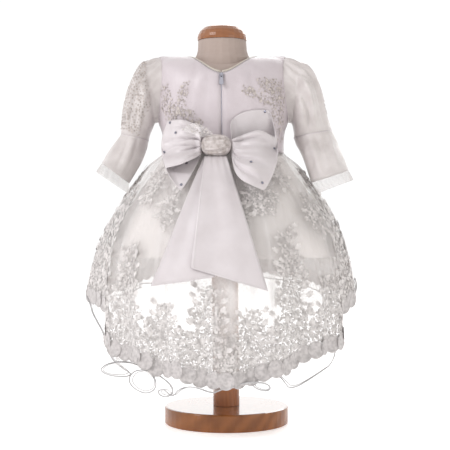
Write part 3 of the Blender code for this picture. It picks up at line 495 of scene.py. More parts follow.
def netMaterial(name, shade, openShare, threadShare, cellSize=0.0012, cloudiness=0.06, folded=False):
    material, tree = newMaterial(name)
    net = useGroup(tree, "net", {
        "Cell size": cellSize, "Open": openShare, "Thread": threadShare, "Cloudiness": cloudiness})
    mask = net["Mask"]
    if folded:
        # the piece's layers attribute says how many times the net lies on itself there
        through = mathNode(tree, "POWER", mathNode(tree, "SUBTRACT", 1.0, mask), namedValue(tree, "layers"))
        mask = mathNode(tree, "SUBTRACT", 1.0, through)
    return endMaterial(material, {
        "Base Color": (*shade, 1), "Roughness": 0.65, "Sheen Weight": 0.1, "Specular IOR Level": 0.3,
        "Alpha": mask, "Normal": bumpFrom(tree, net["Height"], 0.3, 0.0001)})


def laceMaterial(name, shade, light, dark, openShare, threadShare):
    # the net, with embroidery where the piece's blossom attribute asks for it; the thread is white, and its
    # dark colour is painted shade
    material, tree = newMaterial(name)
    net = useGroup(tree, "net", {"Cell size": 0.0014, "Open": openShare, "Thread": threadShare})
    fill = useGroup(tree, "lace", {"Density": namedValue(tree, "blossom")})
    solid = mathNode(tree, "MULTIPLY", fill["Mask"], 0.92)
    thread = blendColour(tree, fill["Shade"], dark, light)
    return endMaterial(material, {
        "Base Color": blendColour(tree, fill["Mask"], shade, thread), "Roughness": 0.6,
        "Sheen Weight": 0.1, "Specular IOR Level": 0.3,
        "Alpha": mathNode(tree, "MAXIMUM", net["Mask"], solid),
        "Normal": bumpFrom(tree, fill["Shade"], 0.5, 0.0004)})


def threadMaterial(name, shade, deepShade, scale=1400.0, patchScale=150.0):
    # embroidery thread, from Object coordinates, with noise patches of its deeper colour; for the white
    # embroidery threads both colours are greyed as painted self-shadow of the raised stitching
    material, tree = newMaterial(name)
    place = objectPlace(tree)
    twist = noiseNode(tree, place, scale, 2.0)
    patches = mapRange(tree, noiseNode(tree, place, patchScale, 3.0), 0.34, 0.62)
    return endMaterial(material, {
        "Base Color": blendColour(tree, patches, deepShade, shade),
        "Roughness": mathNode(tree, "MULTIPLY_ADD", twist, 0.25, 0.42), "Sheen Weight": 0.2,
        "Specular IOR Level": 0.4, "Normal": bumpFrom(tree, twist, 0.7, 0.0003)})


def woodMaterial(name, light, dark, stretch, grainSize, coat=0.4, polishedTop=False):
    material, tree = newMaterial(name)
    wood = useGroup(tree, "wood", {"Light wood": (*light, 1), "Dark wood": (*dark, 1),
                                   "Stretch": stretch, "Grain size": grainSize})
    if polishedTop:
        normal = addNode(tree, "ShaderNodeNewGeometry").outputs["Normal"]
        facing = addNode(tree, "ShaderNodeSeparateXYZ", values={0: normal})
        coat = mapRange(tree, facing.outputs[2], 0.5, 0.95, 0.15)
    return endMaterial(material, {
        "Base Color": wood["Color"], "Roughness": wood["Roughness"], "Coat Weight": coat,
        "Coat Roughness": 0.10, "Coat IOR": 1.75, "Specular IOR Level": 0.25,
        "Normal": bumpFrom(tree, wood["Height"], 0.15, 0.0004)})


def metalMaterial(name, shade, rough):
    material, tree = newMaterial(name)
    noise = noiseNode(tree, objectPlace(tree), 500.0, 3.0)
    return endMaterial(material, {
        "Metallic": 1.0, "Base Color": blendColour(tree, noise, tuple(0.8 * part for part in shade), shade),
        "Roughness": mathNode(tree, "MULTIPLY_ADD", noise, 0.2, rough)})


finishes = {
    # each cloth: its colour, then the painted shade in its creases; the sleeves' satin has the deepest
    # painted crease shade
    "satin": clothMaterial("ivorySatin", (0.67, 0.615, 0.642), (0.53, 0.472, 0.495), (0.30, 0.46), 0.0005,
                           0.0007, creaseSize=34.0),
    "sleeveSatin": clothMaterial("sleeveSatin", (0.79, 0.755, 0.745), (0.49, 0.445, 0.432), (0.28, 0.44),
                                 0.0005, 0.0010, creaseSize=38.0),
    "liningSatin": clothMaterial("liningSatin", (0.84, 0.80, 0.78), (0.80, 0.755, 0.735),
    (0.36, 0.50), 0.0005),
    "bowSatin": clothMaterial("bowSatin", (0.72, 0.682, 0.700), (0.57, 0.525, 0.535), (0.28, 0.42), 0.0005,
                              sheen=0.1),
    "tulle": netMaterial("sheerTulle", (0.95, 0.935, 0.93), 0.10, 0.46, folded=True),
    # the lace's thread: its light colour, then the dark colour of its painted shade
    "laceNet": laceMaterial("laceNet", (0.93, 0.91, 0.90), (0.88, 0.855, 0.85), (0.30, 0.275, 0.265),
                            0.14, 0.56),
    "frillNet": netMaterial("frillNet", (0.92, 0.90, 0.89), 0.22, 0.75, 0.0010, 0.25),
    # the embroidery, scallop, applique and knot threads are white: their grey, and the deeper colour of their
    # patches, are painted self-shadow of the raised stitching
    "embroidery": threadMaterial("embroideryThread", (0.80, 0.77, 0.76), (0.47, 0.445, 0.435)),
    "scallopThread": threadMaterial("scallopThread", (0.61, 0.580, 0.575), (0.43, 0.408, 0.404),
                                    patchScale=190.0),
    "appliqueThread": threadMaterial("appliqueThread", (0.66, 0.600, 0.570), (0.37, 0.325, 0.300),
                                     patchScale=260.0),
    "knotThread": threadMaterial("knotNetThread", (0.66, 0.61, 0.60), (0.42, 0.37, 0.345), scale=700.0),
    "knotBlossom": threadMaterial("knotBlossomThread", (0.72, 0.68, 0.665), (0.48, 0.44, 0.42)),
    "cord": threadMaterial("hemCord", (0.52, 0.515, 0.52), (0.40, 0.395, 0.40)),
    "stitch": threadMaterial("sewingThread", (0.80, 0.78, 0.77), (0.70, 0.68, 0.67)),
    "binding": clothMaterial("neckBinding", (0.62, 0.57, 0.50), (0.52, 0.47, 0.40), (0.4, 0.5), 0.0005),
    "tape": clothMaterial("zipTape", (0.74, 0.74, 0.84), (0.66, 0.66, 0.76), (0.6, 0.75), 0.0007, sheen=0.0),
    "jersey": clothMaterial("creamJersey", (0.45, 0.365, 0.325), (0.37, 0.295, 0.26), (0.75, 0.9), 0.0011,
                            0.0003, 0.3, 60.0),
    "baseWood": woodMaterial("baseWood", (0.355, 0.128, 0.034), (0.13, 0.038, 0.008), (1.7, 1.2, -1.5), 12.0,
                             polishedTop=True),
    "poleWood": woodMaterial("poleWood", (0.42, 0.145, 0.036), (0.26, 0.075, 0.016), (7.0, 7.0, 0.6), 9.0,
                             coat=0.2),
    "capWood": woodMaterial("capWood", (0.32, 0.125, 0.046), (0.20, 0.070, 0.024), (0.6, 6.0, 6.0), 11.0,
                            coat=0.2),
    "zipMetal": metalMaterial("zipMetal", (0.33, 0.325, 0.365), 0.30),
    "crystal": metalMaterial("crystalStone", (0.20, 0.20, 0.24), 0.04)}
print("materials made", len(finishes))


# Geometry Nodes: motifs set on points, threads swept along lines, and stitches spaced along lines
def newGrowth(name, inputs):
    return newTree(name, "GeometryNodeTree", [
        ("Geometry", "geometry", None), *inputs, ("Finish", "finish", None)], [("Geometry", "geometry")])


def endGrowth(tree, inputs, geometry):
    whole = addNode(tree, "GeometryNodeRealizeInstances", values={"Geometry": geometry})
    smooth = addNode(tree, "GeometryNodeSetShadeSmooth", values={"Geometry": whole.outputs["Geometry"]})
    finish = addNode(tree, "GeometryNodeSetMaterial", values={
        "Geometry": smooth.outputs["Geometry"], "Material": inputs["Finish"]})
    addNode(tree, "NodeGroupOutput", values={"Geometry": finish.outputs["Geometry"]})
    return tree


def alignNode(tree, axis, pivot, values):
    return addNode(tree, "FunctionNodeAlignRotationToVector", {"axis": axis, "pivot_axis": pivot},
                   values).outputs["Rotation"]


# what each motif's point carries, after its place
motifValues = (("facing", "FLOAT_VECTOR"), ("heading", "FLOAT_VECTOR"), ("size", "FLOAT"), ("kind", "INT"))


def makeMotifTree():
    tree, inputs = newGrowth("motifsOnPoints", [("Motifs", "collection", None)])
    motifs = addNode(tree, "GeometryNodeCollectionInfo", values={
        "Collection": inputs["Motifs"], "Separate Children": True, "Reset Children": True})
    facing, heading, size, kind = (
        addNode(tree, "GeometryNodeInputNamedAttribute", {"data_type": word},
                {"Name": label}).outputs["Attribute"] for label, word in motifValues)
    upright = alignNode(tree, "Z", "AUTO", {"Vector": facing})
    placed = addNode(tree, "GeometryNodeInstanceOnPoints", values={
        "Points": inputs["Geometry"], "Instance": motifs.outputs["Instances"], "Pick Instance": True,
        "Instance Index": kind, "Scale": size,
        "Rotation": alignNode(tree, "X", "Z", {"Rotation": upright, "Vector": heading})})
    return endGrowth(tree, inputs, placed.outputs["Instances"])


def makeThreadTree():
    # a round thread along every line of a mesh of edges
    tree, inputs = newGrowth("threadAlongLines", [("Thread radius", "value", 0.0005), ("Sides", "count", 6)])
    line = addNode(tree, "GeometryNodeMeshToCurve", values={"Mesh": inputs["Geometry"]})
    ring = addNode(tree, "GeometryNodeCurvePrimitiveCircle", values={
        "Resolution": inputs["Sides"], "Radius": inputs["Thread radius"]})
    swept = addNode(tree, "GeometryNodeCurveToMesh", values={
        "Curve": line.outputs["Curve"], "Profile Curve": ring.outputs["Curve"], "Fill Caps": True})
    return endGrowth(tree, inputs, swept.outputs["Mesh"])


def makeStitchTree():
    # short stitches at an even spacing along every line of a mesh of edges
    tree, inputs = newGrowth("stitchesAlongLines", [
        ("Spacing", "value", 0.003), ("Stitch length", "value", 0.0019), ("Stitch radius", "value", 0.00022)])
    line = addNode(tree, "GeometryNodeMeshToCurve", values={"Mesh": inputs["Geometry"]})
    points = addNode(tree, "GeometryNodeCurveToPoints", {"mode": "LENGTH"}, {
        "Curve": line.outputs["Curve"], "Length": inputs["Spacing"]})
    stitch = addNode(tree, "GeometryNodeMeshCylinder", values={
        "Vertices": 5, "Radius": inputs["Stitch radius"], "Depth": inputs["Stitch length"]})
    placed = addNode(tree, "GeometryNodeInstanceOnPoints", values={
        "Points": points.outputs["Points"], "Instance": stitch.outputs["Mesh"],
        "Rotation": alignNode(tree, "Z", "AUTO", {"Vector": points.outputs["Tangent"]})})
    return endGrowth(tree, inputs, placed.outputs["Instances"])


trees = {"motifs": makeMotifTree(), "thread": makeThreadTree(), "stitches": makeStitchTree()}


def runTree(name, source, word, values):
    # sets the tree's inputs by their identifiers, and keeps the result as a plain mesh
    grow = source.modifiers.new("grow", "NODES")
    grow.node_group = trees[word]
    for item in trees[word].interface.items_tree:
        if item.item_type == "SOCKET" and item.in_out == "INPUT" and item.name in values:
            grow[item.identifier] = values[item.name]
    deps = bpy.context.evaluated_depsgraph_get()
    mesh = bpy.data.meshes.new_from_object(source.evaluated_get(deps), depsgraph=deps)
    source.modifiers.remove(grow)
    bpy.data.objects.remove(source)
    mesh.name = name
    print("  grown", name, len(mesh.polygons), "faces")
    return linkObject(name, mesh)


def lineObject(name, lines, closed=False):
    points, edges = [], []
    for line in lines:
        edges += [(len(points) + first, len(points) + second)
                  for first, second in neighbours(len(line))[:None if closed else -1]]
        points += line
    return linkObject(name, newMesh(name, points, edges=edges))


def threadPiece(name, lines, radius, finish, closed=False, sides=6):
    carry(runTree(name, lineObject(name + "Lines", lines, closed), "thread",
                  {"Thread radius": radius, "Sides": sides, "Finish": finishes[finish]}))


def stitchPiece(name, lines, sizes, finish="stitch"):
    spacing, length, radius = sizes
    carry(runTree(name, lineObject(name + "Lines", lines), "stitches",
                  {"Spacing": spacing, "Stitch length": length, "Stitch radius": radius,
                   "Finish": finishes[finish]}))


# spacing, length and radius of the stitches
stitchSizes = {"binding": (0.0026, 0.0017, 0.00022), "sleeve": (0.0028, 0.0018, 0.00022),
               "bow": (0.0028, 0.0018, 0.0002), "zipTeeth": (0.0012, 0.0008, 0.00034)}


# embroidery motifs lie in the X-Y plane, face up +Z, and are a few dozen faces each
def ringPoints(count, radius, height, offset=0.0):
    angles = [math.tau * (index + offset) / count for index in range(count)]
    return [Vector((radius * math.cos(angle), radius * math.sin(angle), height)) for angle in angles]


def petalFaces(points, faces, centre, heading, length, width, rise):
    # one domed petal or leaf from its root to its tip
    ahead = Vector((math.cos(heading), math.sin(heading), 0.0))
    aside = Vector((-ahead.y, ahead.x, 0.0))
    start = len(points)
    outline = [(0.0, 0.0), (0.30, 0.42), (0.68, 0.50), (1.0, 0.0), (0.68, -0.50), (0.30, -0.42)]
    for along, side in outline:
        points.append(centre + ahead * along * length + aside * side * width)
    points.append(centre + ahead * 0.55 * length + Vector((0.0, 0.0, rise)))
    faces += [(start + index, start + after, start + 6) for index, after in neighbours(6)]


def floretMotif(petals, radius, width):
    points, faces = [], []
    eyeSides, eyeShare, centre = 6, 0.22, Vector((0.0, 0.0, 0.0001))
    for index in range(petals):
        petalFaces(points, faces, centre, math.tau * index / petals, radius, width, 0.0007)
    start = len(points)
    points += ringPoints(eyeSides, eyeShare * radius, 0.0006) + [Vector((0.0, 0.0, 0.0012))]
    faces += [(start + index, start + after, start + eyeSides) for index, after in neighbours(eyeSides)]
    return points, faces


def leafSprayMotif(pairs, length):
    # a stem with leaves in pairs and one at its tip
    points, faces = [], [(0, 2, 3, 1), (2, 4, 5, 3)]
    half, rise, crown = 0.0004, 0.00035, 0.0005
    for x in (0.0, 0.5 * length, 0.85 * length):
        points += [Vector((x, -half, rise)), Vector((x, half, rise))]
    for pair in range(pairs):
        at = Vector((length * (0.18 + 0.6 * pair / pairs), 0.0, rise))
        for side in (-1, 1):
            petalFaces(points, faces, at, side * math.radians(52), 0.36 * length, 0.17 * length, crown)
    petalFaces(points, faces, Vector((0.72 * length, 0.0, rise)), 0.0, 0.34 * length, 0.16 * length, crown)
    return points, faces


def lobeMotif(radius):
    # a filled round scallop with a corded rim and ribs like a fan
    points, faces = [Vector((0.0, 0.0, 0.0004))], []
    steps, rings, hollow = 20, ((0.55, 0.0008), (0.80, 0.0004), (0.90, 0.0013), (1.0, 0.0004)), 0.55
    for share, rise in rings:
        ring = ringPoints(steps, share * radius, rise)
        for point in ring[::2]:
            point.z = rise * hollow
        points += ring
    for index, after in neighbours(steps):
        faces.append((0, 1 + index, 1 + after))
        for low in range(1, 1 + steps * (len(rings) - 1), steps):
            high = low + steps
            faces.append((low + index, high + index, high + after, low + after))
    return points, faces


def beadMotif(radius):
    points, faces = [], []
    for height, share, offset in ((0.0, 0.8, 0.0), (0.5, 1.0, 0.5), (0.9, 0.55, 0.5)):
        points += ringPoints(6, share * radius, height * radius, offset)
    points.append(Vector((0.0, 0.0, 1.15 * radius)))
    for index, after in neighbours(6):
        faces += [(index, after, 6 + after, 6 + index), (6 + index, 6 + after, 12 + after, 12 + index),
                  (12 + index, 12 + after, 18)]
    return points, faces


motifKinds = {"floret": 0, "smallFloret": 1, "leafSpray": 2, "leafPair": 3, "lobe": 4, "bead": 5}
motifShapes = [floretMotif(6, 0.0031, 0.0021), floretMotif(5, 0.0023, 0.0017), leafSprayMotif(4, 0.0135),
               leafSprayMotif(2, 0.0075), lobeMotif(0.0100), beadMotif(0.0010)]
motifShelf = bpy.data.collections.new("embroideryMotifs")
bpy.context.scene.collection.children.link(motifShelf)
for index, (points, faces) in enumerate(motifShapes):
    name = "motif%d" % index
    motifShelf.objects.link(bpy.data.objects.new(name, newMesh(name, points, faces)))


def motifPiece(name, places, finish):
    # places: point, normal, heading, size and motif number
    mesh = newMesh(name + "Points", [place[0] for place in places])
    for column, (label, kind) in enumerate(motifValues, 1):
        attribute = mesh.attributes.new(label, kind, "POINT")
        for item, place in zip(attribute.data, places):
            setattr(item, "vector" if kind == "FLOAT_VECTOR" else "value", place[column])
    carry(runTree(name, linkObject(name + "Points", mesh), "motifs",
                  {"Motifs": motifShelf, "Finish": finishes[finish]}))


# the skirt's three layers, on the solids' own form
skirt = {
    "top": 0.4361, "foldTop": 0.425, "foldFull": 0.170,
    "profile": [(0.070, 0.1960, 0.1960), (0.120, 0.1990, 0.1970), (0.170, 0.2010, 0.1950),
                (0.220, 0.2020, 0.1900), (0.260, 0.1970, 0.1810), (0.300, 0.1880, 0.1700),
                (0.340, 0.1720, 0.1530), (0.370, 0.1545, 0.1370), (0.395, 0.1372, 0.1180),
                (0.416, 0.1210, 0.0980), (0.430, 0.1035, 0.0790), (0.4361, 0.0980, 0.0728)],
    "folds": [(-176, 0.006, 10), (-160, -0.007, 10), (-143, 0.007, 10), (-126, -0.007, 10), (-97, 0.026, 20),
              (-72, -0.008, 9), (-60, 0.008, 8), (-49, -0.006, 7), (-39, 0.006, 7), (-29, -0.006, 7),
              (-19, 0.005, 6), (-9, -0.005, 6), (1, 0.005, 6), (11, -0.005, 6), (22, 0.006, 7),
              (33, -0.006, 7), (44, 0.006, 7), (56, 0.009, 9), (69, -0.009, 9), (82, 0.006, 9),
              (95, -0.006, 9), (109, 0.007, 9), (125, -0.007, 10), (143, 0.007, 10), (161, -0.007, 10)],
    "laceHem": [(-180, 0.246), (-150, 0.238), (-120, 0.218), (-105, 0.207), (-90, 0.202), (-76, 0.190),
                (-66, 0.158), (-57, 0.128), (-50, 0.121), (-40, 0.121), (-31, 0.103), (-22, 0.104),
                (-12, 0.092), (0, 0.089), (10, 0.093), (19, 0.104), (27, 0.108), (36, 0.123), (47, 0.133),
                (58, 0.139), (66, 0.165), (75, 0.194), (90, 0.205), (105, 0.209), (120, 0.219),
                (150, 0.238), (180, 0.246)],
    "scallopPitch": 0.0195, "scallopDrop": 0.0065, "scallopRound": 0.7, "gathers": 40, "gatherDepth": 0.0016,
    "finePleats": 87, "finePleatDepth": 0.0007, "pleatDrift": (2.2, 7), "pleatBelow": 0.35,
    "gatherFade": (0.33, 0.07, 0.008), "tullePleats": 71, "tullePleatDepth": 0.0006,
    "tulleHem": [(-180, 0.233), (-150, 0.225), (-120, 0.204), (-105, 0.192), (-88, 0.180), (-76, 0.150),
                 (-64, 0.098), (-52, 0.078), (-38, 0.080), (-24, 0.082), (-12, 0.076), (0, 0.079),
                 (12, 0.077), (26, 0.090), (36, 0.082), (50, 0.086), (62, 0.104), (74, 0.158), (88, 0.183),
                 (105, 0.194), (120, 0.205), (150, 0.225), (180, 0.233)],
    "tulleFolds": [(-172, 0.008, 12), (-148, -0.007, 12), (-124, 0.008, 12), (-100, -0.004, 12),
                   (-80, 0.014, 11), (-52, 0.024, 14), (-32, -0.008, 9), (-17, 0.006, 8), (-4, -0.004, 7),
                   (9, 0.005, 7), (22, -0.006, 8), (36, 0.010, 8), (54, 0.016, 11), (84, 0.018, 12),
                   (106, -0.007, 11), (128, 0.009, 12), (152, -0.007, 12)],
    "tulleInset": (0.0018, 0.0078), "liningInset": (0.0036, 0.0135), "insetDrop": 0.022,
    "liningHem": 0.273, "tulleSwing": 0.030,
    # where the tulle lies in upright folds: middle angle, extra layers, half angle
    "tulleLayers": [(2.5, 11.0, 3.9), (-2.5, 6.0, 4.6), (-33.0, 1.9, 2.4), (-27.0, 1.3, 1.6),
                    (-12.0, 1.4, 1.5), (12.5, 1.7, 2.2), (21.0, 2.6, 2.5), (37.0, 1.7, 2.2),
                    (-58.0, 1.8, 3.0), (60.0, 1.8, 3.0)]}


def skirtPoint(angle, height, inset=0.0, foldShare=1.0, swing=0.0, gather=0.0):
    halfWidth = readTable(skirt["profile"], 1, height)
    halfDepth = readTable(skirt["profile"], 2, height)
    rise = smoothStep((skirt["foldTop"] - height) / (skirt["foldTop"] - skirt["foldFull"]))
    below, above = (readTable(skirt["profile"], 2, height + step) for step in (-0.002, 0.002))
    flare = (below - above) / 0.004
    length = math.hypot(1.0, flare)
    out = foldDepth(skirt["folds"], angle) * rise * foldShare + swing + gather - inset / length
    turn = math.radians(angle)
    return leaned(((halfWidth + out) * math.sin(turn), -(halfDepth + out) * math.cos(turn),
                   height - inset * flare / length))


def skirtRadius(height):
    return readTable(skirt["profile"], 1, height)


def laceHem(angle):
    return readTable(skirt["laceHem"], 1, angle)


def gatherDepth(angle, height):
    # deep gathers at the waist and fine pleats that run down to the hem
    start, span, edge = skirt["gatherFade"]
    drift, drifts = skirt["pleatDrift"]
    turn = math.radians(angle)
    fade = smoothStep((height - start) / span) * smoothStep((skirt["top"] - height) / edge)
    deep = skirt["gatherDepth"] * math.cos(turn * skirt["gathers"]) * fade
    phase = turn * skirt["finePleats"] + drift * math.sin(turn * drifts)
    return deep + skirt["finePleatDepth"] * math.cos(phase) * mix(skirt["pleatBelow"], 1.0, fade)


# the length along the lace's hem at every half degree, for scallops of one size all the way round
hemRun = lengthsAlong([skirtPoint(step / 2.0 - 180.0, laceHem(step / 2.0 - 180.0)) for step in range(721)])
scallopCount = int(round(hemRun[-1] / skirt["scallopPitch"]))


def hemShare(angle):
    # how many scallops lie between the front and this angle
    step = min(719.0, max(0.0, (turnBetween(angle, 0.0) + 180.0) * 2.0))
    low = int(step)
    return mix(hemRun[low], hemRun[low + 1], step - low) / hemRun[-1] * scallopCount


def hemDrop(angle):
    return skirt["scallopDrop"] * abs(math.sin(math.pi * hemShare(angle))) ** skirt["scallopRound"]


def scallopAngle(index):
    # halves the span until it holds the middle of this scallop
    low, high = -180.0, 179.999
    for _ in range(40):
        middle = (low + high) / 2.0
        low, high = (middle, high) if hemShare(middle) < index + 0.5 else (low, middle)
    return low


# embroidery on the lace: scallop lobes, a dense flowered border, trees of blossom, and loose sprays
embroidery = {
    "seed": 41, "step": 0.0047, "lift": 0.0007,
    "lobeSize": 1.34, "lobeRise": 0.0052, "borderTop": 0.050, "borderSwell": 0.032, "leafOver": 0.0003,
    "cordOut": 0.0003, "cordRadius": 0.0006, "hemRadius": 0.196, "swellHalf": 0.036, "treeTaper": 0.65,
    "treeWave": (0.35, 150.0),
    # how likely a motif is in the border, in a tree and in a spray, and how a spray thins outwards
    "borderShare": 0.97, "treeShare": 0.80, "sprayShare": 0.75, "sprayFade": 0.3,
    # below these shares of the draws come a floret, a small floret and a pair of leaves
    "motifShares": (0.50, 0.80, 0.93),
    # rows of motifs above the hem: the first, the last, their pitch in steps, and how far they stray
    "firstRow": 0.0165, "lastRow": 0.33, "rowPitch": 0.84, "jitter": (0.28, 0.0014), "sizes": (0.84, 1.14),
    "trees": [(-176, 0.12), (-158, 0.09), (-139, 0.15), (-121, 0.10), (-103, 0.16), (-86, 0.15), (-68, 0.20),
              (-47, 0.17), (-27, 0.100), (-7, 0.14), (11, 0.10), (29, 0.20), (50, 0.11), (68, 0.19),
              (88, 0.12), (106, 0.16), (124, 0.09), (143, 0.15), (161, 0.10)],
    "treeHalf": 0.033,
    # angle, height, half width and half height of each loose spray
    "sprays": [(-47, 0.382, 0.017, 0.032), (-66, 0.345, 0.016, 0.040), (-30, 0.345, 0.014, 0.030),
               (20, 0.360, 0.030, 0.026), (8, 0.330, 0.014, 0.030), (38, 0.395, 0.016, 0.022),
               (52, 0.335, 0.022, 0.034), (70, 0.375, 0.016, 0.034), (84, 0.33, 0.016, 0.03),
               (-88, 0.385, 0.015, 0.028), (104, 0.385, 0.018, 0.030), (125, 0.345, 0.018, 0.034),
               (148, 0.385, 0.018, 0.028), (170, 0.345, 0.020, 0.034), (-168, 0.390, 0.016, 0.026),
               (-146, 0.350, 0.018, 0.034), (-124, 0.385, 0.016, 0.028), (-106, 0.340, 0.018, 0.034)]}


def borderDensity(angle, above, height):
    # how likely a motif is at this place
    nearest = min(embroidery["trees"], key=lambda tree: abs(turnBetween(angle, tree[0])))
    radius = skirtRadius(height)
    aside = abs(math.radians(turnBetween(angle, nearest[0]))) * radius
    top = embroidery["borderTop"] + embroidery["borderSwell"] * bump(aside / embroidery["swellHalf"])
    if above < top:
        return embroidery["borderShare"]
    if above < nearest[1]:
        taper, (depth, waves) = embroidery["treeTaper"], embroidery["treeWave"]
        width = embroidery["treeHalf"] * (1.0 - taper * (above - top) / (nearest[1] - top + 0.001))
        width *= 1.0 + depth * math.sin(above * waves + nearest[0])
        if aside < width:
            return embroidery["treeShare"]
    for middle, at, halfWidth, halfHeight in embroidery["sprays"]:
        aside = math.radians(turnBetween(angle, middle)) * radius
        reach = (aside / halfWidth) ** 2 + ((height - at) / halfHeight) ** 2
        if reach < 1.0:
            return embroidery["sprayShare"] - embroidery["sprayFade"] * reach
    return 0.0


def laceSurface(angle, height, out=0.0):
    return skirtPoint(angle, height, -out, gather=gatherDepth(angle, height))


def pointValues(made, label, values):
    made.data.attributes.new(label, "FLOAT", "POINT").data.foreach_set("value", values)


def buildLace():
    angles, down, waistEdge = roundAngles(720), 54, 0.006
    rows, density = [], []
    for row in range(down + 1):
        share = row / down
        line = []
        for angle in angles:
            hem, top = laceHem(angle), skirt["top"]
            low = hem - hemDrop(angle) * smoothStep((share - 0.8) / 0.2)
            line.append(laceSurface(angle, mix(top, low, share)))
            height = mix(top, hem, share)
            density.append(borderDensity(angle, height - hem, height) if height < top - waistEdge else 0.0)
        rows.append(line)
    made = clothSheet("skirtLace", rows, finishes["laceNet"], closed=True, flip=True)
    pointValues(made, "blossom", density)
    dressAs(made, "skirt_lace")


def layerInset(height, pair):
    return mix(pair[0], pair[1], smoothStep((skirt["top"] - height) / skirt["insetDrop"]))


def buildLining():
    angles, down, foldShare = roundAngles(240), 30, 0.25
    rows = []
    for row in range(down + 1):
        height = mix(skirt["top"], skirt["liningHem"], row / down)
        inset = layerInset(height, skirt["liningInset"])
        rows.append([skirtPoint(angle, height, inset, foldShare) for angle in angles])
    made = clothSheet("skirtLining", rows, finishes["liningSatin"], closed=True, wall=0.0005, flip=True)
    dressAs(made, "skirt_lining")


buildLining()
buildLace()


# the tulle runs on below the lace, and its corded hem swings out in flutes
def tullePoint(angle, share):
    # share 0 to 1 runs down to the lace's hem, and 1 to 2 on to the tulle's own
    low, hem = laceHem(angle) - skirt["scallopDrop"], readTable(skirt["tulleHem"], 1, angle)
    turn, foldShare = math.radians(angle), 0.5
    pleat = skirt["tullePleatDepth"] * math.cos(turn * skirt["tullePleats"] + 2.0 * math.sin(turn * 5))
    if share <= 1.0:
        height = mix(skirt["top"], low, share)
        return skirtPoint(angle, height, layerInset(height, skirt["tulleInset"]) + pleat * share, foldShare)
    part = share - 1.0
    swing = foldDepth(skirt["tulleFolds"], angle) * smoothStep((low - hem) / skirt["tulleSwing"]) * part
    return skirtPoint(angle, mix(low, hem, part), skirt["tulleInset"][1] + pleat, foldShare, swing)


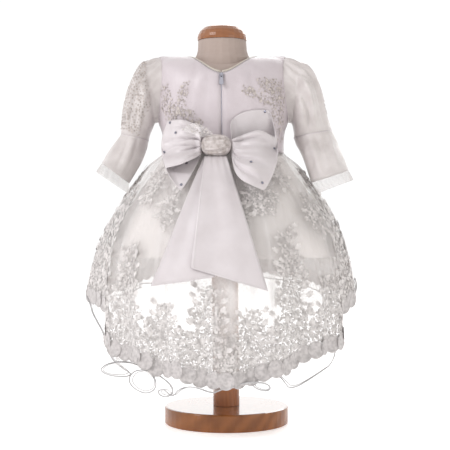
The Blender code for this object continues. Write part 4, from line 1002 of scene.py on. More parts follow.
# the corded hem at the back runs through these places: angle, x, y and height
hemCurve = {
    "cordRadius": 0.00095, "innerRadius": 0.0006, "innerShare": 0.93, "blend": 9.0, "roll": 1.6,
    "curlAside": 1.6, "curlRise": 0.3, "curlRound": 0.7,
    "back": [
        (-88.0, -0.2257, 0.0050, 0.2044), (-85.0, -0.2183, -0.0100, 0.1917),
        (-82.0, -0.2130, -0.0220, 0.1789), (-79.0, -0.2041, -0.0380, 0.1658),
        (-76.0, -0.1948, -0.0520, 0.1528), (-73.0, -0.1880, -0.0660, 0.1385),
        (-70.0, -0.1820, -0.0800, 0.1229), (-67.0, -0.1722, -0.0940, 0.1106),
        (-64.5, -0.1569, -0.1120, 0.1014), (-62.5, -0.1442, -0.1280, 0.0959),
        (-60.5, -0.1497, -0.1420, 0.0932), (-58.0, -0.1673, -0.1460, 0.0945),
        (-55.8, -0.1813, -0.1400, 0.0974), (-54.0, -0.1886, -0.1280, 0.1019),
        (-52.0, -0.1815, -0.1160, 0.1080), (-50.0, -0.1674, -0.1120, 0.1113),
        (-48.0, -0.1518, -0.1160, 0.1121), (-46.0, -0.1358, -0.1260, 0.1100),
        (-44.0, -0.1206, -0.1400, 0.1049), (-42.0, -0.1088, -0.1560, 0.0973),
        (-40.0, -0.1031, -0.1720, 0.0877), (-38.2, -0.1058, -0.1840, 0.0792),
        (-36.4, -0.1168, -0.1880, 0.0754), (-34.6, -0.1302, -0.1840, 0.0792),
        (-33.0, -0.1406, -0.1720, 0.0862), (-31.6, -0.1431, -0.1580, 0.0939),
        (-30.0, -0.1364, -0.1480, 0.1015), (-28.3, -0.1222, -0.1480, 0.1037),
        (-26.7, -0.1070, -0.1540, 0.1000), (-25.2, -0.0931, -0.1640, 0.0932),
        (-23.8, -0.0830, -0.1760, 0.0861), (-22.5, -0.0782, -0.1860, 0.0787),
        (-21.2, -0.0808, -0.1940, 0.0730), (-19.8, -0.0887, -0.1960, 0.0711),
        (-18.4, -0.0969, -0.1920, 0.0738), (-17.0, -0.0981, -0.1840, 0.0784),
        (-15.6, -0.0907, -0.1840, 0.0792), (-14.2, -0.0832, -0.1900, 0.0742),
        (-12.8, -0.0765, -0.1940, 0.0727), (-11.2, -0.0707, -0.1920, 0.0789),
        (-9.2, -0.0627, -0.1920, 0.0833), (-7.2, -0.0524, -0.1940, 0.0850),
        (-5.0, -0.0399, -0.1980, 0.0831), (-3.0, -0.0281, -0.2020, 0.0796),
        (-1.2, -0.0190, -0.2030, 0.0779), (0.6, -0.0111, -0.2010, 0.0802), (2.4, -0.0024, -0.1980, 0.0841),
        (4.4, 0.0071, -0.1960, 0.0864), (6.6, 0.0180, -0.1960, 0.0889), (8.8, 0.0288, -0.1970, 0.0912),
        (11.0, 0.0404, -0.1980, 0.0924), (13.0, 0.0527, -0.1990, 0.0915), (14.8, 0.0613, -0.1990, 0.0886),
        (16.4, 0.0638, -0.2000, 0.0835), (18.0, 0.0575, -0.2020, 0.0804), (19.6, 0.0467, -0.2000, 0.0825),
        (21.2, 0.0390, -0.1920, 0.0869), (22.8, 0.0430, -0.1820, 0.0928), (24.6, 0.0528, -0.1760, 0.0985),
        (26.8, 0.0632, -0.1740, 0.1022), (29.5, 0.0733, -0.1760, 0.1007), (32.5, 0.0811, -0.1800, 0.0954),
        (35.0, 0.0867, -0.1840, 0.0887), (37.5, 0.0924, -0.1860, 0.0830), (40.5, 0.1046, -0.1800, 0.0844),
        (44.0, 0.1178, -0.1680, 0.0894), (47.5, 0.1317, -0.1520, 0.0953), (51.0, 0.1450, -0.1360, 0.1014),
        (55.0, 0.1579, -0.1200, 0.1085), (59.0, 0.1662, -0.1060, 0.1212), (63.0, 0.1693, -0.0920, 0.1381),
        (67.0, 0.1709, -0.0780, 0.1553), (71.0, 0.1742, -0.0620, 0.1726), (75.0, 0.1841, -0.0440, 0.1862),
        (79.0, 0.1972, -0.0260, 0.1944), (83.0, 0.2082, -0.0080, 0.2053), (87.0, 0.2148, 0.0120, 0.2203),
        (91.0, 0.2145, 0.0300, 0.2334)],
    # in front: middle angle, half angle, how far the edge curls sideways, up and out
    "flutes": [(-110.0, 9.0, 0.010, 0.008, 0.005), (-132.0, 10.0, 0.010, 0.008, 0.005),
               (-160.0, 9.0, 0.010, 0.008, 0.005), (112.0, 9.0, 0.010, 0.008, 0.005),
               (140.0, 10.0, 0.010, 0.008, 0.005), (168.0, 9.0, 0.010, 0.008, 0.005)]}


def frontHem(angle):
    point = tullePoint(angle, 2.0)
    turn = math.radians(angle)
    aside = Vector((math.cos(turn), math.sin(turn), 0.0))
    outward = Vector((math.sin(turn), -math.cos(turn), 0.0))
    for middle, half, sideways, upward, away in hemCurve["flutes"]:
        at = turnBetween(angle, middle) / half
        if abs(at) < 1.0:
            weight, phase = bump(at) ** hemCurve["curlRound"], math.pi * at
            rise = hemCurve["curlRise"] * upward * (1.0 - math.cos(phase * 2.0)) * weight
            point = point - aside * (hemCurve["curlAside"] * sideways * math.sin(phase) * weight)
            point = point + Vector((0.0, 0.0, rise)) + outward * (away * math.cos(phase) * weight)
    return point


def hemEdge(angle):
    angle = turnBetween(angle, 0.0)
    rows = hemCurve["back"]
    low, high = rows[0][0], rows[-1][0]
    held = min(high, max(low, angle))
    back = leaned([readTable(rows, column, held) for column in (1, 2, 3)])
    if held == angle:
        return back
    share = smoothStep(1.0 - abs(angle - held) / hemCurve["blend"])
    return frontHem(angle).lerp(back, share)


def hemPoint(angle, part):
    # from the lace's hem level the tulle swings out to its own edge
    swing = hemEdge(angle) - tullePoint(angle, 2.0)
    return tullePoint(angle, 1.0 + part) + swing * part ** hemCurve["roll"]


def buildTulle():
    # more columns at the back, where the edge rolls
    angles = [-180.0 + 1.25 * index for index in range(68)]
    angles += [-95.0 + 0.4 * index for index in range(480)]
    angles += [97.0 + 1.25 * index for index in range(67)]
    upperRows, lowerRows = 34, 14
    rows = [[tullePoint(angle, row / upperRows) for angle in angles] for row in range(upperRows)]
    rows += [[hemPoint(angle, row / lowerRows) for angle in angles] for row in range(lowerRows + 1)]
    made = clothSheet("skirtTulle", rows, finishes["tulle"], closed=True, flip=True)
    extras = [foldDepth(skirt["tulleLayers"], angle) for angle in angles]
    layers = []
    for row in range(len(rows)):
        down = smoothStep(row / 20.0) * (1.0 - 0.80 * smoothStep((row - upperRows) / lowerRows))
        layers += [1.0 + extra * down for extra in extras]
    pointValues(made, "layers", layers)
    hem = [hemEdge(angle) for angle in roundAngles(1440)]
    upper = [hemPoint(angle, hemCurve["innerShare"]) for angle in roundAngles(720)]
    threadPiece("tulleHemCord", [hem], hemCurve["cordRadius"], "cord", closed=True)
    threadPiece("tulleHemCordUpper", [upper], hemCurve["innerRadius"], "cord", closed=True, sides=5)
    dressAs(made, "skirt_tulle")


buildTulle()
print("skirt layers done")


def laceFrame(angle, height, out):
    return frameOn(lambda u, v: laceSurface(u, v, out), angle, height, 0.4, 0.002)


def pickMotif(draw, rich):
    florets, smallFlorets, leaves = embroidery["motifShares"]
    value = draw.random()
    if value < florets * rich:
        return motifKinds["floret"]
    if value < smallFlorets:
        return motifKinds["smallFloret"]
    return motifKinds["leafPair"] if value < leaves else motifKinds["bead"]


def buildLaceEmbroidery():
    draw = random.Random(embroidery["seed"])
    lift, leafLift = embroidery["lift"], embroidery["lift"] + embroidery["leafOver"]
    places, lobes = [], []

    def sew(angle, height, out, turn, size, kind):
        point, normal, across, upward = laceFrame(angle, height, out)
        places.append((point, normal, headingAt(across, upward, turn), size, kind))

    for index in range(scallopCount):
        angle = scallopAngle(index)
        point, normal, across, _ = laceFrame(angle, laceHem(angle) + embroidery["lobeRise"], lift)
        lobes.append((point, normal, across, embroidery["lobeSize"], motifKinds["lobe"]))
    columns = int(round(math.tau * embroidery["hemRadius"] / embroidery["step"]))
    aside, upAndDown = embroidery["jitter"]
    above, odd = embroidery["firstRow"], 0
    while above < embroidery["lastRow"]:
        for index in range(columns):
            angle = 360.0 * (index + 0.5 * odd + draw.uniform(-aside, aside)) / columns - 180.0
            angle = turnBetween(angle, 0.0)
            height = laceHem(angle) + above + draw.uniform(-upAndDown, upAndDown)
            pick, turn = draw.random(), draw.uniform(0.0, math.tau)
            size = draw.uniform(*embroidery["sizes"])
            kind = pickMotif(draw, 1.0)
            crowded = min(1.0, skirtRadius(min(0.435, height)) / 0.17)
            if height <= skirt["top"] - 0.008 and pick <= borderDensity(angle, above, height) * crowded:
                sew(angle, height, lift, turn, size, kind)
        above += embroidery["step"] * embroidery["rowPitch"]
        odd = 1 - odd
    # leaf sprays that reach out from the trees and the border's top
    for middle, tall in embroidery["trees"]:
        above, side, radius = 0.045, 1, 0.19
        while above < tall:
            aside = side * embroidery["treeHalf"] * (1.0 - 0.6 * above / tall) * draw.uniform(0.8, 1.1)
            angle = middle + math.degrees(aside / radius)
            sew(angle, laceHem(turnBetween(angle, 0.0)) + above, leafLift,
                math.radians(90 - side * draw.uniform(25, 70)), draw.uniform(0.85, 1.15),
                motifKinds["leafSpray"])
            above += draw.uniform(0.0055, 0.009)
            side = -side
    leaves, reach = 7, 0.8
    for middle, at, halfWidth, halfHeight in embroidery["sprays"]:
        for step in range(leaves):
            turn = math.tau * step / leaves + draw.uniform(-0.3, 0.3)
            angle = middle + math.degrees(halfWidth * reach * math.cos(turn) / skirtRadius(at))
            height = min(skirt["top"] - 0.014, at + halfHeight * reach * math.sin(turn))
            sew(angle, height, leafLift, turn, draw.uniform(0.8, 1.1), motifKinds["leafSpray"])
    motifPiece("laceScallops", lobes, "scallopThread")
    backPlaces = [place for place in places if place[0].y < 0.0]
    frontPlaces = [place for place in places if place[0].y >= 0.0]
    print("  motifs", len(backPlaces), len(frontPlaces))
    motifPiece("laceEmbroideryBack", backPlaces, "embroidery")
    motifPiece("laceEmbroideryFront", frontPlaces, "embroidery")
    hemLine = [laceSurface(angle, laceHem(angle) - hemDrop(angle), embroidery["cordOut"])
               for angle in roundAngles(scallopCount * 12)]
    threadPiece("laceScallopCord", [hemLine], embroidery["cordRadius"], "scallopThread", closed=True)


buildLaceEmbroidery()
print("lace embroidery done")


# bodice panels on the body's surface, with soft drag lines beside the zip and under the arms
drags = {"zipFolds": 0.0011, "sideFolds": 0.0012, "lift": 0.0003, "zipOpening": 0.0013, "wall": 0.0007,
         "seamRadius": 0.0009, "waistSeamRadius": 0.0014, "shoulderSeamRadius": 0.0014, "edgeSteps": 24,
         # waves round the body and up it, and the middle and half angle of the folds
         "zip": (26, 9.0, 16, 18.0), "sides": (0.05, 21.0, 62, 24.0), "frontShare": 0.4,
         "edgeFade": (0.12, 0.08), "shoulderFade": (0.8, 0.15)}


def dragDepth(angle, level, front):
    angle = abs(angle)
    around, upward, middle, half = drags["zip"]
    zipFold = math.cos(math.radians(angle) * around + level * upward) * bump((angle - middle) / half)
    around, upward, middle, half = drags["sides"]
    sideFold = math.cos(level * upward + angle * around) * bump((angle - middle) / half)
    return (drags["zipFolds"] * zipFold * (drags["frontShare"] if front else 1.0)
            + drags["sideFolds"] * sideFold)


def toSide(point, side, front):
    # the body's functions give the right half of the back
    return Vector((point.x * side, -point.y if front else point.y, point.z))


def panelPoint(across, along, side, front):
    # across 0 is the centre and 1 the side, along 0 the waist and 1 the shoulder
    startX = 0.0 if front else drags["zipOpening"] / 2.0 + body["zipX"] * side
    innerAngle, innerLevel = innerEdge(along, startX, body["frontNeck"] if front else body["notch"], front)
    outerAngle, outerLevel = outerEdge(along)
    angle, level = mix(innerAngle, outerAngle, across), mix(innerLevel, outerLevel, across)
    centreFade, sideFade = drags["edgeFade"]
    fadeStart, fadeSpan = drags["shoulderFade"]
    edge = smoothStep(across / centreFade) * smoothStep((1.0 - across) / sideFade)
    point = bodyPoint(angle, level, drags["lift"] + dragDepth(angle, level, front) * edge)
    point.y = min(point.y, -body["shoulderGap"] * smoothStep((level - fadeStart) / fadeSpan))
    return leaned(toSide(point, side, front))


def panelRow(shares, along, side, front):
    return [panelPoint(share, along, side, front) for share in shares]


def buildBodice():
    across, along = 26, 44
    shares = [column / across for column in range(across + 1)]
    for name, side in (("Left", -1), ("Right", 1)):
        rows = [panelRow(shares, row / along, side, False) for row in range(along + 1)]
        made = clothSheet("bodiceBack" + name, rows, finishes["satin"], wall=drags["wall"], flip=side < 0)
        dressAs(made, "bodice_back_" + name.lower())
    rows = [panelRow(shares[:0:-1], row / along, -1, True) + panelRow(shares, row / along, 1, True)
            for row in range(along + 1)]
    made = clothSheet("bodiceFront", rows, finishes["satin"], wall=drags["wall"], flip=True)
    dressAs(made, "bodice_front")


def buildSeams():
    # a ridge over each sewn seam: the sides, the shoulders and the waist
    sideSteps, steps = 70, drags["edgeSteps"]
    for name, side in (("Left", -1), ("Right", 1)):
        seams = [[panelPoint(1.0, row / sideSteps, side, front) for row in range(sideSteps + 1)]
                 for front in (False, True)]
        threadPiece("bodiceSeams" + name, seams, drags["seamRadius"], "satin")
    shares = [step / steps for step in range(steps + 1)]
    shoulders = [[(one + other) / 2.0 for one, other in zip(panelRow(shares, 1.0, side, False),
                                                            panelRow(shares, 1.0, side, True))]
                 for side in (-1, 1)]
    threadPiece("shoulderSeams", shoulders, drags["shoulderSeamRadius"], "satin")
    waist = []
    for side, front, inward in ((1, False, False), (1, True, True), (-1, True, False), (-1, False, True)):
        waist += panelRow([1.0 - share if inward else share for share in shares[:-1]], 0.0, side, front)
    threadPiece("waistSeam", [waist], drags["waistSeamRadius"], "satin", closed=True)


def bindingPoint(side, front, share, inset, lift):
    startX = 0.0 if front else body["zipGap"] / 2.0 + body["zipX"] * side
    low = body["frontNeck"] if front else body["notch"]
    angle, level = neckline(share, low, startX, inset, front)
    return leaned(toSide(bodyPoint(angle, level, lift), side, front))


def buildBinding():
    steps, path = drags["edgeSteps"], []
    for side, front in ((-1, False), (-1, True), (1, True), (1, False)):
        stretch = [(side, front, step / steps) for step in range(steps + 1)]
        if side * (-1 if front else 1) > 0:
            stretch.reverse()
        path += stretch[1:] if path else stretch
    # a folded strip: under, over the edge, and down outside
    profile = [(0.0032, -0.0007), (0.0012, -0.0009), (0.0001, -0.0003), (0.0001, 0.0006), (0.0012, 0.0012),
               (0.0032, 0.0010)]
    rows = [[bindingPoint(*at, inset, lift) for at in path] for inset, lift in profile]
    made = clothSheet("neckBinding", rows, finishes["binding"], wall=0.0003)
    dressAs(made, "neck_binding")
    stitchPiece("bindingStitches", [[bindingPoint(*at, 0.0036, 0.0009) for at in path]],
                stitchSizes["binding"])


buildBodice()
buildSeams()
buildBinding()
print("bodice done")


# sleeves: each row is one ring, as outer x and z, inner x and z, half depth and middle y
sleeves = {
    "right": {
        "side": 1,
        "upper": [(0.1225, 0.5845, 0.1112, 0.4852, 0.033, 0.0), (0.1385, 0.5785, 0.1128, 0.4812, 0.044, 0.0),
                  (0.1515, 0.5590, 0.1140, 0.4760, 0.047, 0.0), (0.1610, 0.5330, 0.1147, 0.4710, 0.044, 0.0),
                  (0.1670, 0.5035, 0.1150, 0.4665, 0.039, 0.0), (0.1755, 0.4735, 0.1150, 0.4615, 0.034, 0.0)],
        "lower": [(0.1758, 0.4726, 0.1150, 0.4606, 0.034, 0.0),
                  (0.1836, 0.4540, 0.1180, 0.4500, 0.034, -0.006),
                  (0.1900, 0.4305, 0.1265, 0.4285, 0.033, -0.029),
                  (0.1966, 0.4058, 0.1384, 0.3868, 0.033, -0.051)],
        "frill": [(0.1968, 0.4053, 0.1386, 0.3862, 0.033, -0.0515),
                  (0.1990, 0.3978, 0.1436, 0.3780, 0.034, -0.058),
                  (0.2008, 0.3905, 0.1488, 0.3708, 0.035, -0.064)],
        # angle round the sleeve, depth, half angle, and the share of the length where it is deepest
        "upperCreases": [(62, -0.0035, 30, 0.55), (118, 0.0030, 30, 0.5), (28, 0.0022, 16, 0.75),
                         (46, -0.0075, 15, 0.85), (84, 0.0060, 13, 0.8), (102, -0.0060, 13, 0.65),
                         (8, -0.0060, 15, 0.35), (70, 0.0050, 11, 0.3)],
        "lowerCreases": [(75, -0.0030, 32, 0.5), (-70, -0.0030, 32, 0.5), (112, 0.0034, 16, 0.45),
                         (92, -0.0034, 13, 0.35), (58, 0.0030, 12, 0.6)]},
    "left": {
        "side": -1,
        "upper": [(-0.1200, 0.5855, -0.1112, 0.4850, 0.033, 0.0),
                  (-0.1335, 0.5790, -0.1128, 0.4815, 0.043, 0.0),
                  (-0.1455, 0.5586, -0.1145, 0.4770, 0.045, 0.0),
                  (-0.1556, 0.5326, -0.1170, 0.4720, 0.041, 0.0),
                  (-0.1625, 0.5002, -0.1195, 0.4655, 0.036, 0.0),
                  (-0.1657, 0.4665, -0.1217, 0.4575, 0.030, 0.0)],
        "lower": [(-0.1660, 0.4656, -0.1218, 0.4566, 0.030, 0.0),
                  (-0.1765, 0.4515, -0.1242, 0.4430, 0.031, -0.006),
                  (-0.1855, 0.4370, -0.1330, 0.4195, 0.032, -0.015),
                  (-0.1938, 0.4190, -0.1512, 0.3868, 0.034, -0.030)],
        "frill": [(-0.1940, 0.4185, -0.1513, 0.3862, 0.034, -0.0305),
                  (-0.1970, 0.4108, -0.1518, 0.3778, 0.035, -0.042),
                  (-0.1992, 0.4035, -0.1512, 0.3705, 0.036, -0.052)],
        "upperCreases": [(80, -0.0045, 30, 0.5), (-65, -0.0030, 32, 0.5), (50, 0.0035, 14, 0.7),
                         (105, 0.0030, 12, 0.6), (70, -0.0035, 10, 0.8)],
        "lowerCreases": [(60, -0.0040, 28, 0.5), (105, 0.0035, 28, 0.5), (82, -0.0036, 13, 0.4),
                         (118, -0.0030, 12, 0.6)]},
    "capGathers": 17, "capGatherDepth": 0.0014, "frillWaves": 17, "frillWaveDepth": 0.0024,
    "frillDroop": 0.0012, "columns": 84, "frillColumns": 204, "seamGap": 0.0008, "tuck": 0.0001,
    "wall": 0.0007, "seamRadius": 0.0007, "creaseSlant": 18.0, "creaseRound": 0.9, "capFade": 0.35,
    "frillDrift": (1.3, 3), "frillStart": 0.15, "droops": 25.5,
    # the table's first ring lies this far along the upper sleeve
    "firstRing": 1.0 / 6.0}


def sleeveRing(rings, share):
    # a ring part of the way along, on a smooth curve through the table's rings
    rows = [(index / (len(rings) - 1), *ring) for index, ring in enumerate(rings)]
    return [readTable(rows, column, share) for column in range(1, 7)]


def ringPoint(ring, angle):
    outer, inner = Vector((ring[0], 0.0, ring[1])), Vector((ring[2], 0.0, ring[3]))
    centre = (outer + inner) / 2.0
    centre.y = ring[5]
    turn = math.radians(angle)
    reach = (outer - inner) / 2.0 * math.cos(turn) + Vector((0.0, -ring[4] * math.sin(turn), 0.0))
    return centre, reach


def sleevePoint(sleeve, part, angle, share, out=0.0):
    centre, reach = ringPoint(sleeveRing(sleeve[part], share), angle)
    swing = out
    for middle, depth, half, peak in sleeve.get(part + "Creases", []):
        # creases slant a little as they run down
        at = turnBetween(angle, middle + sleeves["creaseSlant"] * (share - peak)) / half
        held = min(1.0, max(0.0, share)) ** sleeves["creaseRound"]
        swing += depth * bump(at) * math.sin(math.pi * held)
    if part == "upper":
        swing += capGather(angle) * smoothStep(1.0 - share / sleeves["capFade"]) * capSide(angle)
    return centre + reach + reach.normalized() * swing


def capGather(angle):
    return sleeves["capGatherDepth"] * math.cos(math.radians(angle) * sleeves["capGathers"])


def capSide(angle):
    return smoothStep(0.5 + math.cos(math.radians(angle)))


def armholeRingPoint(side, angle):
    angle = angle % 360.0
    share = 1.0 - angle / 180.0 if angle <= 180.0 else angle / 180.0 - 1.0
    sweep, level = armholeEdge(share)
    point = bodyPoint(90.0 - sweep, level, -sleeves["tuck"])
    if angle > 180.0:
        point.y = -point.y
    rise = (point.z - body["armpit"]) / (body["shoulder"] - body["armpit"])
    point.x = (point.x - sleeves["tuck"]) * side
    point.z += sleeves["seamGap"] * 0.3 * (0.5 - rise)
    return point


def upperSleevePoint(sleeve, angle, share, out=0.0):
    # the first stretch runs from the bodice's armhole to the table's first ring
    first = sleeves["firstRing"]
    if share >= first:
        return leaned(sleevePoint(sleeve, "upper", angle, (share - first) / (1.0 - first), out))
    start = armholeRingPoint(sleeve["side"], angle)
    end = sleevePoint(sleeve, "upper", angle, 0.0, out)
    part = share / first
    puff = capGather(angle) * (math.sin(math.pi * part) * capSide(angle))
    lift = Vector((0.0, 0.0, puff)) + (end - start).normalized() * (out * (1.0 - part))
    return leaned(start.lerp(end, part) + lift)


def frillPoint(sleeve, angle, share):
    turn, (drift, drifts), start = math.radians(angle), sleeves["frillDrift"], sleeves["frillStart"]
    phase = turn * sleeves["frillWaves"] + drift * math.sin(turn * drifts)
    wave = sleeves["frillWaveDepth"] * math.cos(phase)
    point = sleevePoint(sleeve, "frill", angle, share, wave * (start + (1.0 - start) * share))
    point.z -= sleeves["frillDroop"] * share * abs(math.sin(turn * sleeves["droops"]))
    return leaned(point)


def buildSleeves():
    angles, frillAngles = ringAngles(sleeves["columns"]), ringAngles(sleeves["frillColumns"])
    upperRows, lowerRows, frillRows, over = 48, 30, 10, 0.0006
    for word in ("left", "right"):
        sleeve, name = sleeves[word], word.capitalize()
        shape = {"closed": True, "flip": word == "right"}
        rows = [[upperSleevePoint(sleeve, angle, row / upperRows) for angle in angles]
                for row in range(upperRows + 1)]
        made = clothSheet("upperSleeve" + name, rows, finishes["sleeveSatin"], wall=sleeves["wall"], **shape)
        dressAs(made, "upper_sleeve_" + word)
        # the lower sleeve's first ring is tucked under the upper sleeve's last
        rows = [[upperSleevePoint(sleeve, angle, 0.975, -0.0009) for angle in angles]]
        rows += [[leaned(sleevePoint(sleeve, "lower", angle, row / lowerRows)) for angle in angles]
                 for row in range(1, lowerRows + 1)]
        made = clothSheet("lowerSleeve" + name, rows, finishes["sleeveSatin"], wall=sleeves["wall"], **shape)
        dressAs(made, "lower_sleeve_" + word)
        rows = [[frillPoint(sleeve, angle, row / frillRows) for angle in frillAngles]
                for row in range(frillRows + 1)]
        made = clothSheet("cuffFrill" + name, rows, finishes["frillNet"], **shape)
        dressAs(made, "cuff_frill_" + word)
        edges = [[leaned(sleevePoint(sleeve, "lower", angle, share, over)) for angle in angles + [0.0]]
                 for share in (0.03, 0.97)]
        edges.append([upperSleevePoint(sleeve, angle, 0.985, over) for angle in angles + [0.0]])
        stitchPiece("sleeveStitches" + name, edges, stitchSizes["sleeve"])
        seam = [leaned(sleevePoint(sleeve, "lower", angle, 0.0, 0.0002)) for angle in angles]
        threadPiece("elbowSeam" + name, [seam], sleeves["seamRadius"], "satin", closed=True)


buildSleeves()
print("sleeves done")


# lace applique on the bodice and the left sleeve, as blossom along drawn branches
applique = {
    "seed": 7, "step": 0.0038, "leafSize": 0.62,
    # x and height along each branch on the back, then its half width
    "backBranches": [
        ((-0.094, 0.540), (-0.090, 0.520), (-0.084, 0.498), (-0.078, 0.480), 0.010),
        ((-0.058, 0.543), (-0.062, 0.528), (-0.068, 0.508), (-0.078, 0.492), 0.0075),
        ((-0.072, 0.500), (-0.058, 0.496), (-0.046, 0.486), (-0.036, 0.470), 0.0085),
        ((0.034, 0.533), (0.046, 0.526), (0.058, 0.520), (0.070, 0.512), 0.0075),
        ((0.062, 0.546), (0.072, 0.540), (0.080, 0.528), (0.088, 0.512), 0.013),
        ((0.084, 0.545), (0.088, 0.520), (0.089, 0.490), (0.086, 0.458), 0.013)],
    "frontBranches": [
        ((-0.088, 0.545), (-0.070, 0.520), (-0.045, 0.500), (-0.020, 0.485), 0.012),
        ((0.088, 0.545), (0.070, 0.520), (0.045, 0.500), (0.020, 0.485), 0.012),
        ((0.0, 0.530), (0.0, 0.510), (0.0, 0.485), (0.0, 0.458), 0.016),
        ((-0.080, 0.470), (-0.055, 0.455), (-0.028, 0.450), (0.0, 0.455), 0.008),
        ((0.080, 0.470), (0.055, 0.455), (0.028, 0.450), (0.0, 0.455), 0.008)],
    # the left sleeve's cap carries lace all over its outer side; the right has a little at its edge:
    # how many tries, the share along the sleeve and the angles round it
    "sleeveSeed": 23,
    "sleeves": (("left", 9000, 0.22, 0.96, -70.0, 118.0), ("right", 700, 0.62, 0.86, -26.0, 16.0))}


def bodicePlace(x, height, front, lift):
    level = bodyLevel(height)
    angle = bodyAngle(x, level)
    side = 1 if angle >= 0 else -1
    angle = abs(angle)
    out = drags["lift"] + dragDepth(angle, level, front) + lift
    placed = [toSide(vector, side, front)
              for vector in frameOn(lambda u, v: bodyPoint(u, v, out), angle, level, 1.0, 0.01)]
    return leaned(placed[0]), *placed[1:]


def branchPoint(branch, share):
    rows = [(index / 3.0, *corner) for index, corner in enumerate(branch[:4])]
    return readTable(rows, 1, share), readTable(rows, 2, share)


def buildApplique():
    draw = random.Random(applique["seed"])
    step, farSide, heights = applique["step"], 0.0965, (0.441, 0.565)
    for word, front in (("Back", False), ("Front", True)):
        places = []
        for branch in applique[word.lower() + "Branches"]:
            width = branch[4]
            length = sum(math.dist(branch[index], branch[index + 1]) for index in range(3))
            count = int(length * width * 2.0 / step ** 2 * 1.25)
            taken = []
            for _ in range(count * 12):
                share, aside = draw.random(), draw.uniform(-1.0, 1.0)
                x, height = branchPoint(branch, share)
                taper = width * (0.55 + 0.45 * math.sin(math.pi * (0.15 + 0.8 * share)))
                x, height = x + aside * taper, height + draw.uniform(-1.0, 1.0) * taper * 0.6
                if abs(x) > farSide or height < heights[0] or height > heights[1]:
                    continue
                if any(math.dist((x, height), other) < step * 0.86 for other in taken):
                    continue
                taken.append((x, height))
                turn, kind = draw.uniform(0.0, math.tau), draw.random()
                point, normal, across, upward = bodicePlace(x, height, front, 0.0010)
                motif = ("floret" if kind < 0.2 else "smallFloret" if kind < 0.6
                         else "leafPair" if kind < 0.9 else "bead")
                places.append((point, normal, headingAt(across, upward, turn), draw.uniform(0.55, 0.80),
                               motifKinds[motif]))
            for leaf in range(5):
                x, height = branchPoint(branch, (leaf + 0.5) / 5)
                if abs(x) > 0.094:
                    continue
                point, normal, across, upward = bodicePlace(x, height, front, 0.0012)
                heading = headingAt(across, upward, draw.uniform(0.0, math.tau))
                places.append((point, normal, heading, applique["leafSize"], motifKinds["leafSpray"]))
        motifPiece("bodiceApplique" + word, places, "appliqueThread")


def buildSleeveApplique():
    draw = random.Random(applique["sleeveSeed"])
    for word, tries, low, high, near, far in applique["sleeves"]:
        sleeve, places, taken = sleeves[word], [], []
        for _ in range(tries):
            share, angle = draw.uniform(low, high), draw.uniform(near, far)
            fade = bump((angle - (near + far) / 2.0) / (far - near) * 1.7)
            if draw.random() > 0.35 + fade:
                continue
            point = upperSleevePoint(sleeve, angle, share, 0.0010)
            if any((point - other).length < applique["step"] for other in taken):
                continue
            taken.append(point)
            _, normal, across, along = frameOn(
                lambda u, v: upperSleevePoint(sleeve, u, v), angle, share, 2, 0.01)
            centre = leaned(ringPoint(sleeveRing(sleeve["upper"], share), angle)[0])
            if normal.dot(point - centre) < 0.0:
                normal = -normal
            heading = headingAt(across, along, draw.uniform(0.0, math.tau))
            places.append((point, normal, heading, draw.uniform(0.55, 0.82), pickMotif(draw, 0.7)))
        motifPiece("sleeveApplique" + word.capitalize(), places, "appliqueThread")


buildApplique()
buildSleeveApplique()
print("applique done")


